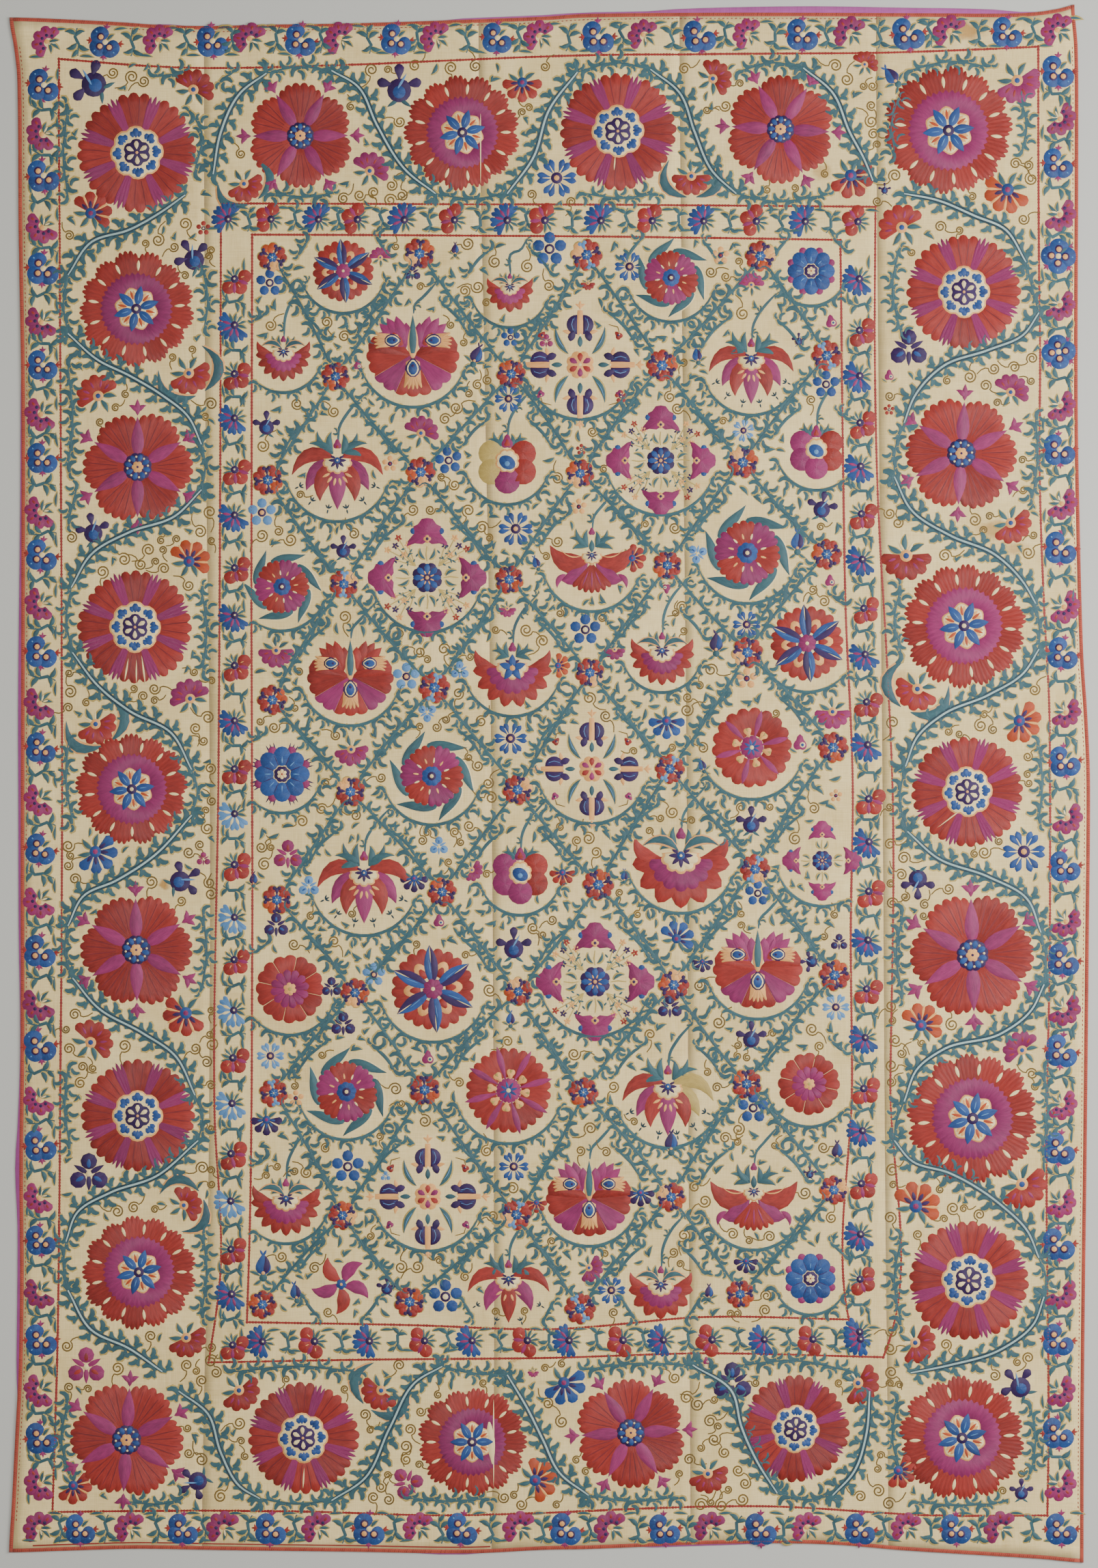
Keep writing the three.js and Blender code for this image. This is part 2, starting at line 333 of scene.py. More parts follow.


# %% [markdown]
# ## Handwoven cotton
# The ground is plain-weave cotton: cream, matt, a little uneven. The photo doesn't show its
# threads; they are taken to be 0.55 mm apart, which two crossed waves give as bump and as faint
# darker lines. Slubs are thicker bits of yarn and show as short streaks along the warp (Y) and the
# weft (X). Age adds broad clouds of tone and a few brown stains, and a grey band of painted shade
# darkens the cotton along each seam. The wave patterns read Object coordinates, which here are
# metres on the cloth itself.

# %% Cotton material
STAINS = [                         # x, y, radius along x and y in mm, strength
    (645, 1157, 42, 20, 0.75), (425, 938, 20, 16, 0.45), (690, 388, 34, 20, 0.6),
    (722, 360, 22, 14, 0.5), (545, 160, 26, 20, 0.35), (-589, -157, 12, 10, 0.8),
    (-48, -887, 12, 7, 0.5), (-600, 880, 40, 24, 0.15), (470, -1010, 30, 40, 0.15),
]


def new_material(name):
    """An empty material and its tree."""
    made = bpy.data.materials.new(name)
    made.use_nodes = True
    made.node_tree.nodes.clear()
    return made, made.node_tree


def blend_tones(tree, start, patterns, light, dark):
    """A colour between light and dark, by a start plus a share of each (pattern, share)."""
    tone = start
    for k, (pattern, share) in enumerate(patterns, 1):
        tone = add_node(tree, "ShaderNodeMath", {**ADD_SHARE, "use_clamp": k == len(patterns)},
                        i0=pattern, i1=share, i2=tone)
    return add_node(tree, "ShaderNodeMix", COLOURS, Factor=tone, A=linear(light),
                    B=linear(dark)).outputs[2]


def finish_material(tree, colour, height, strength, depth, **gloss):
    """Bumps of some depth in metres, and a shader with its roughness, sheen and specular."""
    bump = add_node(tree, "ShaderNodeBump", Strength=strength, Distance=depth, Height=height)
    skin = add_node(tree, "ShaderNodeBsdfPrincipled", Base_Color=colour, Normal=bump, **gloss)
    add_node(tree, "ShaderNodeOutputMaterial", Surface=skin)
    return skin


def woven(name, light, dark, spacing):
    """Plain-weave cloth: two crossed waves of `spacing` millimetres, with slubs and clouds."""
    made, tree = new_material(name)
    here = add_node(tree, "ShaderNodeTexCoord").outputs["Object"]
    waves = []
    for direction in ("X", "Y"):
        wave = add_node(tree, "ShaderNodeTexWave", {"bands_direction": direction}, Vector=here,
                        Scale=1000 * WAVE / spacing, Distortion=0.6, Detail=1.0,
                        Detail_Scale=0.02)
        waves.append(wave.outputs["Fac"])
    weave = add_node(tree, "ShaderNodeMath", TIMES, i0=waves[0], i1=waves[1])
    slubs = []
    for stretch in ((900, 28, 1), (28, 900, 1)):
        turned = add_node(tree, "ShaderNodeMapping", Vector=here, Scale=stretch)
        slubs.append(add_node(tree, "ShaderNodeTexNoise", Vector=turned, Scale=1.0, Detail=2.0,
                              Roughness=0.6))
    slub = add_node(tree, "ShaderNodeMath", {"operation": "ADD"}, i0=slubs[0], i1=slubs[1])
    clouds = add_node(tree, "ShaderNodeTexNoise", Vector=here, Scale=7.0, Detail=4.0,
                      Roughness=0.55)
    mottle = add_node(tree, "ShaderNodeTexNoise", Vector=here, Scale=45.0, Detail=5.0,
                      Roughness=0.6)
    colour = blend_tones(tree, -0.43, [(slub, 0.55), (clouds, 0.7), (mottle, 0.35),
                                       (weave, -0.12)], light, dark)
    height = add_node(tree, "ShaderNodeMath", ADD_SHARE, i0=slub, i1=0.5, i2=weave)
    skin = finish_material(tree, colour, height, 0.5, 0.00018, Roughness=0.92, Sheen_Weight=0.15,
                           Sheen_Roughness=0.6, Specular_IOR_Level=0.2)
    return made, colour, here, skin


cotton, cotton_colour, cotton_here, cotton_skin = woven(
    "handwoven cream cotton", "F0DBA4", "B2985F", 0.55)
tree = cotton.node_tree


def fading(tree, distance, near, far):
    """1 up to the near distance, fading out to 0 at the far one."""
    return add_node(tree, "ShaderNodeMapRange", {"interpolation_type": "SMOOTHSTEP"},
                    Value=distance, From_Min=near, From_Max=far, To_Min=1.0, To_Max=0.0)


def near_line(tree, here, middle, half_width):
    """1 on an upright line at x = middle (table mm) that fades out over half_width."""
    x = add_node(tree, "ShaderNodeSeparateXYZ", Vector=here)
    off = add_node(tree, "ShaderNodeMath", {"operation": "SUBTRACT"}, i0=x,
                   i1=(middle - MIDDLE[0]) / 1000)
    off = add_node(tree, "ShaderNodeMath", {"operation": "ABSOLUTE"}, i0=off)
    return fading(tree, off, 0.0, half_width / 1000)


def near_spot(tree, here, x, y, across, along):
    """1 in the middle of a ragged spot that fades out over its radii (table mm)."""
    shake = 0.02                       # how far the noise moves the rim, in metres
    ragged = add_node(tree, "ShaderNodeTexNoise", Vector=here, Scale=70.0, Detail=3.0)
    wobble = add_node(tree, "ShaderNodeVectorMath", ADD_SHARE, i0=ragged.outputs["Color"],
                      i1=(shake, shake, 0), i2=here)
    middle = ((x - MIDDLE[0]) / 1000 + shake / 2, (y - MIDDLE[1]) / 1000 + shake / 2, 0)
    moved = add_node(tree, "ShaderNodeMapping", {"vector_type": "TEXTURE"}, Vector=wobble,
                     Location=middle, Scale=(across / 1000, along / 1000, 1.0))
    flat = add_node(tree, "ShaderNodeVectorMath", TIMES, i0=moved, i1=(1, 1, 0))
    reach = add_node(tree, "ShaderNodeVectorMath", {"operation": "LENGTH"}, i0=flat)
    return fading(tree, reach.outputs["Value"], 0.35, 1.0)


SEAM_SHADE = 26                    # half the width of the painted shade along a seam, in mm
# A grey band of painted shade along each seam, then the real brown stains
marks = [(near_line(tree, cotton_here, rows[2][1], SEAM_SHADE), 0.12, "B5A48C") for rows in SEAMS]
marks += [(near_spot(tree, cotton_here, *where), strength, "B58E4C")
          for *where, strength in STAINS]
# The cotton's colour with its stains and the painted shade along the seams
stained_and_shaded = cotton_colour
for mark, strength, tint in marks:
    share = add_node(tree, "ShaderNodeMath", TIMES, i0=mark, i1=strength)
    stained_and_shaded = add_node(tree, "ShaderNodeMix", {**COLOURS, "blend_type": "MULTIPLY"}, Factor=share,
                    A=stained_and_shaded, B=linear(tint)).outputs[2]
tree.links.new(stained_and_shaded, cotton_skin.inputs["Base Color"])
print("stains:", len(STAINS))

# %% [markdown]
# ## The five strips
# Each strip runs from seam to seam and stands for one CAD solid. A grid of about fifteen
# millimetres is fine enough for the swells and creases, while the weave stays in the material.

# %% Ground strips
GRID = 15                          # distance between the points of a strip, in mm
STRIP_LENGTH = float(ground_top(0.0) - ground_bottom(0.0))


def strip_sides(index):
    left = ground_left if index == 0 else (lambda y: seams[index - 1](y) + GAP / 2)
    right = ground_right if index == len(seams) else (lambda y: seams[index](y) - GAP / 2)
    return left, right


strips = []
for index in range(len(SEAMS) + 1):
    left, right = strip_sides(index)

    def strip_place(across, along):
        x, y = points_between(left, right, ground_bottom, ground_top, across, along)
        face = cloth_height(x, y)
        return x, y, face - GROUND_THICKNESS, face

    width = float(right(0.0) - left(0.0))
    strip = closed_sheet(f"cotton_strip_{index + 1}", round(STRIP_LENGTH / GRID) + 1,
                         round(width / GRID) + 1, strip_place, cotton)
    strips.append(strip)
    print(strip.name, round(width), "mm wide,", len(strip.data.vertices), "points")

# %% [markdown]
# ## The lining
# Plain pink cotton behind everything. Only a lip of it shows, mostly past the left and top edges.
# It lies flat on the table.

# %% Lining
lining_cotton = woven("plain woven pink cotton", "CC66B4", "93347F", 0.4)[0]
LINING_ROWS = (81, 41)             # points along and across


def lining_place(across, along):
    x, y = points_between(
        lambda y: left_edge(y) - past_left(y), lambda y: right_edge(y) + HIDDEN,
        lambda x: bottom_edge(x) - past_bottom(x), lambda x: top_edge(x) + past_top(x),
        across, along)
    return x, y, np.zeros_like(x), np.full_like(x, LINING_THICKNESS)


lining = closed_sheet("lining_sheet", *LINING_ROWS, lining_place, lining_cotton)
print(lining.name, len(lining.data.vertices), "points")

# %% [markdown]
# ## Silk stitches
# Flowers of this kind are filled with couching: a long silk thread is laid down and tied with a
# slant of tiny stitches, row beside row. So every petal is a thin padded patch whose rows run along
# it or fan out from its heart. Such a patch could be displaced from the cotton, but as thin raised
# meshes the patches keep crisp edges and catch light at the rim. Two shapes are enough: a band
# between two rows of points, and a patch inside an outline. Both carry a "thread" UV map in
# millimetres (U across the threads, V along them) and a "dye" number for each patch.

# %% Where the patches are kept
silk = {}                          # colour name -> its patches so far
hand = random.Random(1880)         # the uneven hand of the embroiderers
BASE = 0.5                         # height of the first layer of stitches over the cotton, in mm
STEP = 0.17                        # how much higher the next layer lies
SHOULDER = 0.7                     # width of the rounded edge of a patch
RISE = 0.6                         # how far that edge comes up
DOME = 0.12                        # how much higher the heart of a patch is
LEAN = 0.0007                      # lifts each patch a little past the last, so none coincide
BEND_EVERY = 20                    # a wide band bends with the cloth every so many mm


def keep(colour, points, heights, faces, corner_uv):
    """Files one patch of stitches under its colour."""
    box = silk.setdefault(colour, {"points": [], "faces": [], "uv": [], "dye": [], "count": 0})
    start = box["count"]
    dye = hand.random()
    lifted = np.asarray(heights) + LEAN * (start % 50)
    box["points"].append(np.column_stack((points, lifted)))
    box["faces"] += [tuple(start + i for i in face) for face in faces]
    box["uv"].append(np.asarray(corner_uv) + (97 * dye, 61 * dye))
    box["dye"].append(np.full(len(points), dye))
    box["count"] += len(points)


def turned_area(points):
    x, y = points[:, 0], points[:, 1]
    return float(np.sum(x * np.roll(y, -1) - np.roll(x, -1) * y)) / 2


def run_length(points):
    return np.concatenate(([0], np.cumsum(np.linalg.norm(np.diff(points, axis=0), axis=1))))


def aside(points):
    """At every point of a line, the direction square to it, 1 long."""
    ahead = np.gradient(points, axis=0)
    ahead /= np.maximum(np.linalg.norm(ahead, axis=1), 1e-9)[:, None]
    return np.column_stack((-ahead[:, 1], ahead[:, 0]))


# %% Bands and patches
def rows_to_faces(rows, stations, closed):
    span = stations if closed else stations - 1
    faces, corners = [], []
    for r in range(rows - 1):
        for i in range(span):
            j = (i + 1) % stations
            faces.append((r * stations + i, (r + 1) * stations + i,
                          (r + 1) * stations + j, r * stations + j))
            corners.append(((r, i), (r + 1, i), (r + 1, i + 1), (r, i + 1)))
    return faces, corners


def band(colour, side_a, side_b, level=BASE, grain="across", closed=False, tips=False):
    """Stitches between two rows of points; `tips` for one that comes to a point at both ends."""
    a, b = np.asarray(side_a, float), np.asarray(side_b, float)
    if not closed and not tips:    # a blunt end gets a short slope of its own
        a, b = [np.vstack((s[:1], s[0] + (s[1] - s[0]) * 0.25, s[1:-1],
                           s[-1] + (s[-2] - s[-1]) * 0.25, s[-1:])) for s in (a, b)]
    if closed:
        swap = (abs(turned_area(a)) > abs(turned_area(b))) == (turned_area(a) > 0)
    else:
        swap = turned_area(np.vstack((a, b[::-1]))) > 0
    if swap:
        a, b = b, a
    count = len(a)
    width = np.linalg.norm(b - a, axis=1)
    share = np.minimum(SHOULDER / np.maximum(width, 1e-6), 0.36)
    steps = np.linspace(0, 1, 2 + int(width.max() / BEND_EVERY))
    across = np.vstack((0 * share, share + np.outer(steps, 1 - 2 * share), 1 + 0 * share))
    up, rows_up = np.ones(count), np.ones(len(across))
    rows_up[[0, -1]] = 0
    if not closed:
        up[[0, -1]] = 0
    heights = level - RISE + RISE * np.outer(rows_up, up)
    faces, corners = rows_to_faces(len(across), count, closed)
    ends = [np.vstack((s, s[:1])) if closed else s for s in (a, b)]
    run = np.maximum(run_length(ends[0]), run_length(ends[1]))
    cross = width * across - width / 2
    if closed:
        cross = np.column_stack((cross, cross[:, 0]))
    uv = [(run[i], cross[r][i]) if grain == "across" else (cross[r][i], run[i])
          for face in corners for r, i in face]
    points = a + across[:, :, None] * (b - a)
    keep(colour, points.reshape(-1, 2), heights.ravel(), faces, uv)


def patch(colour, outline, heart=None, level=BASE, grain=None):
    """Stitches inside an outline, fanning out from its heart or laid straight at an angle."""
    rim = np.asarray(outline, float)
    if turned_area(rim) < 0:
        rim = rim[::-1]
    heart = rim.mean(axis=0) if heart is None else np.asarray(heart, float).reshape(2)
    reach = np.linalg.norm(heart - rim, axis=1)
    ring = rim + (heart - rim) * np.minimum(SHOULDER / np.maximum(reach, 1e-6), 0.4)[:, None]
    n = len(rim)
    points = np.vstack((rim, ring, heart))
    heights = [level - RISE] * n + [level] * n + [level + DOME]
    faces = [(n + i, i, (i + 1) % n, n + (i + 1) % n) for i in range(n)]
    faces += [(n + i, n + (i + 1) % n, 2 * n) for i in range(n)]
    if grain is None:
        run = run_length(np.vstack((rim, rim[:1])))
        inner = np.linalg.norm(heart - ring, axis=1)
        uv = []
        for i in range(n):
            j = (i + 1) % n
            uv += [(run[i], inner[i]), (run[i], reach[i]), (run[i + 1], reach[j]),
                   (run[i + 1], inner[j])]
        for i in range(n):
            uv += [(run[i], inner[i]), (run[i + 1], inner[(i + 1) % n]),
                   ((run[i] + run[i + 1]) / 2, 0)]
    else:
        turn = math.radians(grain)
        ahead = np.array((math.cos(turn), math.sin(turn)))
        flat = np.column_stack((points @ (-ahead[1], ahead[0]), points @ ahead))
        uv = [flat[i] for face in faces for i in face]
    keep(colour, points, heights, faces, uv)


def row_of_chain(colour, points, width, level=0.3, rise=0.4, taper=0.0):
    """A narrow raised line along some points, thinner at its ends if tapered."""
    p = np.asarray(points, float)
    half = width / 2 * (1 - taper * np.abs(2 * np.linspace(0, 1, len(p)) - 1) ** 3)
    side = aside(p) * half[:, None]
    heights = np.repeat((level - rise, level, level - rise), len(p))
    faces, corners = rows_to_faces(3, len(p), False)
    run = run_length(p)
    uv = [((r - 1) * half[i], run[i]) for face in corners for r, i in face]
    keep(colour, np.vstack((p + side, p, p - side)), heights, faces, uv)


# %% [markdown]
# ## A draughtsman's vocabulary
# The patterns look drawn freehand, so no two flowers are quite alike, and yet the same few forms
# make them all: leaves, scalloped petals, rounds, blobs with a smooth outline. Each is drawn around
# its own origin and put in place by a small function that turns, scales and nests it. A layer is
# one thickness of thread: layer 0 lies on the cotton, 1 on top of that.

# %% Forms
HALO = 3.6                         # how much wider the ochre outline is than its leaf, in mm


def spot(x, y, turn=0.0, size=1.0, flip=False, inside=None):
    """A function that puts points drawn round the origin at (x, y), maybe inside another spot."""
    c, s = math.cos(math.radians(turn)) * size, math.sin(math.radians(turn)) * size

    def place(points):
        p = np.atleast_2d(np.asarray(points, float)).copy()
        if flip:
            p[:, 0] *= -1
        moved = np.column_stack((x + c * p[:, 0] - s * p[:, 1], y + s * p[:, 0] + c * p[:, 1]))
        return inside(moved) if inside else moved

    place.size = size * (inside.size if inside else 1)
    return place


def polar(angles, radii):
    turn = np.radians(np.asarray(angles, float))
    reach = np.broadcast_to(np.asarray(radii, float), turn.shape)
    return np.column_stack((reach * np.cos(turn), reach * np.sin(turn)))


def ray(angle, reach):
    return polar([angle], reach)[0]


def turns(count, start=0.0):
    """Equal angles all round, in degrees."""
    return start + 360 / count * np.arange(count)


def smooth_ring(values, per=4):
    """Values round a ring, with smooth ones between them."""
    v = np.asarray(values, float)
    t = np.arange(len(v) * per) / per
    i = t.astype(int)
    f = t - i
    p0, p1, p2, p3 = (v[(i + k) % len(v)] for k in (-1, 0, 1, 2))
    return p1 + 0.5 * f * (p2 - p0 + f * (2 * p0 - 5 * p1 + 4 * p2 - p3
                                          + f * (3 * (p1 - p2) + p3 - p0)))


def smooth_path(points, step=8.0):
    """A smooth line through some points, with a point about every `step` mm."""
    p = np.asarray(points, float)
    key = run_length(p)
    slope = np.gradient(p, key, axis=0)
    at = np.linspace(0, key[-1], max(3, int(key[-1] / step) + 1))
    i = np.clip(np.searchsorted(key, at, side="right") - 1, 0, len(p) - 2)
    span = (key[i + 1] - key[i])[:, None]
    t = ((at - key[i]) / span[:, 0])[:, None]
    return eased(p[i], p[i + 1], slope[i], slope[i + 1], span, t)


def leaf(colour, place, root, tip, width, bend=0.0, layer=0.0, belly=0.45, full=1.0):
    """A leaf or petal from its root to its tip; `full` under 1 makes it rounder."""
    root, tip = np.asarray(root, float), np.asarray(tip, float)
    along = tip - root
    normal = np.array((-along[1], along[0]))
    t = np.linspace(0, 1, int(np.clip(np.linalg.norm(along) * place.size / 4.5 + 3, 4, 8)))
    if full < 0.8:
        t = (1 - np.cos(math.pi * t)) / 2
    spine = root + t[:, None] * along + (4 * bend * t * (1 - t))[:, None] * normal
    power = math.log(0.5) / math.log(belly)
    half = width / 2 * np.maximum(np.sin(math.pi * t ** power), 0) ** full
    side = aside(spine) * half[:, None]
    band(colour, place(spine + side), place(spine - side), BASE + STEP * layer, grain="along",
         tips=True)


def sides(colour, place, root, tip, width, bend=0.0, layer=0.0, **shape):
    """A leaf and its mirror image across the upright axis of the motif."""
    for side in (1, -1):
        leaf(colour, place, (side * root[0], root[1]), (side * tip[0], tip[1]), width,
             side * bend, layer, **shape)


def in_turn(colours, angles):
    """Number, colour and angle; colours parted by / take turns."""
    names = colours.split("/")
    return [(k, names[k % len(names)], angle) for k, angle in enumerate(angles)]


def petals(colours, place, angles, near, far, width, layer=0.0, **shape):
    """The same petal at several angles between two radii."""
    for k, colour, angle in in_turn(colours, angles):
        leaf(colour, place, ray(angle, near), ray(angle, far), width, 0,
             layer + 0.05 * (k % 3), **shape)


def haloed_leaf(place, root, tip, width, bend=0.0, layer=0.0):
    """A teal leaf on the wider ochre one that outlines it."""
    root, tip = np.asarray(root, float), np.asarray(tip, float)
    over = (tip - root) / max(np.linalg.norm(tip - root), 1e-6) * 0.55 * HALO / place.size
    leaf("ochre", place, root - over, tip + over, width + HALO / place.size, bend, layer - 1.6)
    leaf("teal", place, root, tip, width, bend, layer)


def scallops(radius, count, depth, start=0.0, end=360.0, sharp=0.55, per=4):
    """Points of a scalloped edge; a whole round doesn't repeat its first point."""
    whole = abs(end - start) >= 360
    t = np.linspace(0, count, count * per + 1)[:-1 if whole else None]
    bump = np.abs(np.sin(math.pi * t)) ** sharp
    return polar(start + (end - start) * t / count, radius - depth + depth * bump)


def sector(colour, place, inner, outer_points, layer=0.0):
    """A patch between a small radius and an outer edge given as points."""
    outer = np.asarray(outer_points, float)
    shrunk = outer / np.maximum(np.linalg.norm(outer, axis=1), 1e-6)[:, None] * inner
    band(colour, place(shrunk), place(outer), BASE + STEP * layer)


def lobes(colours, place, angles, half, near, far, bumps, depth, layer=0.0, fall=0.0,
          uneven=0.0, sharp=0.6):
    """Scalloped petals: `half` a petal's half width in degrees, `fall` what its sides lose."""
    for _, colour, angle in in_turn(colours, angles):
        share = np.linspace(-1, 1, bumps * 4 + 1)
        bump = np.abs(np.sin(math.pi * bumps * (share + 1) / 2)) ** sharp
        edge = 1 - depth + depth * bump - fall * np.abs(share) ** 3
        edge = far * edge * (1 + hand.uniform(-uneven, uneven))
        sector(colour, place, near, polar(angle + half * share, edge), layer)


def disc(colour, place, radius, layer=0.0, count=0, depth=0.0, turn=0.0, centre=(0, 0)):
    """A round patch, plain or with a scalloped edge."""
    if count:
        rim = spot(0, 0, turn)(scallops(radius, count, depth))
    else:
        rim = polar(turns(int(np.clip(radius * place.size + 4, 6, 14))), radius)
    centre = np.asarray(centre, float)
    patch(colour, place(rim + centre), place(centre), BASE + STEP * layer)


def discs(colours, place, angles, reach, radius, layer=0.0):
    """The same round patch at several angles."""
    for _, colour, angle in in_turn(colours, angles):
        disc(colour, place, radius, layer, centre=ray(angle, reach))


def blob(colour, place, centre, radii, turn=0.0, layer=0.0, per=3):
    """A patch with a smooth outline through radii given at equal angles, counter-clockwise."""
    reach = smooth_ring(radii, per)
    centre = np.asarray(centre, float)
    rim = place(polar(turn + np.arange(len(reach)) * 360 / len(reach), reach) + centre)
    patch(colour, rim, place(centre), BASE + STEP * layer)


def line(colour, place, points, width, layer=0.5, taper=0.4):
    """A narrow raised line; its width is in mm, whatever the size of the motif."""
    row_of_chain(colour, place(points), width, BASE + STEP * layer, 0.15, taper)


def fleur(colour, place, centre, angle, size, layer=0.0):
    """A small three-pointed tip."""
    tip = spot(*centre, angle, size, inside=place)
    leaf(colour, tip, (-0.45, 0), (0.75, 0), 0.42, layer=layer)
    for side in (-1, 1):
        leaf(colour, tip, (-0.25, 0), (0.28, 0.64 * side), 0.36, -0.16 * side, layer)


def heart_bud(colour, place, centre, size, angle=90, layer=0.0):
    """A heart-shaped bud whose point looks along the angle."""
    radii = np.array([1.05, 0.62, 0.62, 0.66, 0.6, 0.42, 0.6, 0.66, 0.62, 0.62])
    blob(colour, place, centre, size * radii, angle, layer, 2)


def palm(place, x, y, angle, reach):
    """A teal leaf of four spread fingers."""
    inner = spot(x, y, angle, reach, inside=place)
    for finger, length in ((-48, 0.8), (-17, 1.0), (16, 0.95), (48, 0.72)):
        haloed_leaf(inner, (0, 0), ray(finger, length), 0.25, 0.16 if finger < 0 else -0.16)


def palms(place, x, y, spread, reach):
    """A palm on each side, spread from the upright."""
    for side in (-1, 1):
        palm(place, x * side, y, 90 - spread * side, reach)


def tick(place, x, y, angle):
    """The little dark bird's foot that is set between petals."""
    foot = spot(x, y, angle, 8.5, inside=place)
    petals("dark teal", foot, (-42, 0, 42, 180), 0, 1, 0.36)


# %% [markdown]
# ## The three big rosettes
# Twenty-six rosettes fill the main border, in three kinds that take turns. The wheel has eight wide
# red segments with rose wedges between them round a cream disc of little blue trefoils. The
# six-lobed one has rose spears laid over madder lobes. The jagged one has toothed segments with
# cream drops at the notches, a rose ring and a blue star. Pale slits part two of them where a seam
# runs through, and a few places are worn down to the cotton.

# %% Big rosettes
def wheel_rosette(x, y, r):
    place = spot(x, y, hand.uniform(-6, 6), r)
    lobes("red", place, turns(8), 17.8, 0.34, 0.985, 3, 0.08, fall=0.03, uneven=0.02)
    lobes("rose", place, turns(8, 22.5), 7.6, 0.34, 0.99, 3, 0.15, 0.5, fall=0.12, sharp=1.1)
    for angle in turns(8):
        for rib in (-6.2, 6.2):
            line("wine", place, [ray(angle + rib * 0.8, 0.47), ray(angle + rib, 0.7),
                                 ray(angle + rib, 0.9)], 1.7, 1)
    disc("peach", place, 0.45, 1, 8, 0.045, 22.5)
    disc("cream", place, 0.42, 2, 8, 0.045, 22.5)
    petals("blue", place, turns(8), 0.235, 0.415, 0.12, 3, belly=0.62, full=0.6)
    for side in (-1, 1):
        petals("blue", place, turns(8, 10.5 * side), 0.245, 0.37, 0.105, 3, belly=0.6, full=0.6)
    disc("plum", place, 0.235, 3, 6, 0.035)
    petals("cream", place, turns(6, 30), 0.045, 0.2, 0.09, 4, belly=0.62, full=0.7)
    disc("peach", place, 0.03, 5)


def six_lobed_rosette(x, y, r):
    place = spot(x, y, 30 * (abs(x) > 600) + hand.uniform(-5, 5), r)
    lobes("red", place, turns(6, 30), 29, 0.2, 1.0, 6, 0.065, fall=0.14, uneven=0.02)
    for angle in turns(6, 30):
        for rib in (-14, -4.8, 4.8, 14):
            line("wine", place, [ray(angle + rib * 0.75, 0.36), ray(angle + rib * 0.95, 0.62),
                                 ray(angle + rib, 0.88)], 1.7, 1)
    petals("rose", place, turns(6), 0.17, 0.9, 0.24, 1, belly=0.38)
    for angle in turns(6):
        fleur("rose", place, ray(angle, 1.03), angle, 0.25, 1)
    disc("plum", place, 0.26, 2, 12, 0.02)
    petals("blue", place, turns(8), 0.08, 0.24, 0.11, 3, belly=0.6, full=0.75)
    discs("cream", place, turns(8, 22.5), 0.185, 0.024, 4)
    disc("peach", place, 0.11, 4, 6, 0.02)
    disc("plum", place, 0.03, 5)


def jagged_rosette(x, y, r):
    count = 14 if r > 90 else 13
    place = spot(x, y, hand.uniform(0, 20), r)
    whole = turns(78)
    band("red", place(polar(whole, 0.56)), place(polar(whole, 0.92)), BASE - STEP, closed=True)
    lobes("red", place, turns(count), 180 / count - 0.1, 0.5, 1.04, 5, 0.06, fall=0.12,
          uneven=0.02, sharp=0.8)
    petals("cream", place, turns(count, 180 / count), 0.68, 0.87, 0.06, 3, belly=0.55, full=0.6)
    band("rose", place(polar(whole, 0.34)), place(polar(whole, 0.61 + 0.05 * (np.arange(78) % 2))),
         BASE + STEP, closed=True)
    for size, colour, layer in ((0.4, "peach", 2), (0.375, "cream", 3)):
        blob(colour, place, (0, 0), size * np.array([1, 0.9, 0.8, 0.9] * 6), 30, layer, 2)
    for side in (-1, 1):
        petals("peach", place, turns(6, 30 + 9 * side), 0.17, 0.34, 0.08, 4, full=0.7)
    petals("orange", place, turns(6, 30), 0.15, 0.36, 0.06, 4.4)
    petals("blue", place, turns(6), 0.05, 0.42, 0.17, 5)
    petals("pale blue", place, turns(6), 0.12, 0.3, 0.025, 6)
    disc("plum", place, 0.095, 7)
    disc("cream", place, 0.045, 8)


ROSETTES = {
    wheel_rosette: [
        (-629, 968, 93), (110, 1001, 92), (-632, 239, 90), (-628, -512, 89), (-374, -1007, 88),
        (383, -993, 84), (642, 754, 91), (647, -14, 88), (649, -765, 95),
    ],
    six_lobed_rosette: [
        (-378, 994, 82), (360, 1004, 84), (-628, 485, 86), (-630, -257, 88), (-645, -1010, 89),
        (130, -999, 85), (638, 506, 88), (655, -265, 97),
    ],
    jagged_rosette: [
        (-129, 999, 86), (618, 1002, 96), (-630, 728, 86), (-637, -10, 84), (-626, -752, 85),
        (-114, -1013, 81), (639, -1007, 93), (642, 241, 92), (655, -516, 97),
    ],
}
WORN = [           # pale slits and worn places: from, to and width
    ((-101, 1036), (-101, 916), 2.6), ((-81, -944), (-81, -1086), 3), ((-88, -978), (-82, -1052), 13),
    ((-616, 150), (-622, 196), 3), ((-630, 152), (-630, 190), 2.4), ((-648, 156), (-642, 192), 3),
    ((104, 940), (106, 965), 2.4), ((-374, -1085), (-372, -1052), 2.6), ((640, -40), (600, -70), 2),
]
for draw, rows in ROSETTES.items():
    for x, y, r in rows:
        draw(x, y, r)
table = spot(0, 0)
for start, end, width in WORN:
    leaf("cream", table, start, end, width, layer=3)
print("big rosettes:", sum(len(rows) for rows in ROSETTES.values()))

# %% [markdown]
# ## The flowers of the field
# Each diamond of the lattice holds one flower about a hand wide. Thirteen kinds come back in turn:
# a lotus with flaming petals, a carnation with three eyes, a fan palmette, crosses of four tulips
# or four vases, round flowers with a star, an eye or a ring of teal sickle leaves. Each is a
# function of its place and size, drawn upright with its bud above. The round ones are drawn with
# the radius 1, the others in millimetres of a middling one.

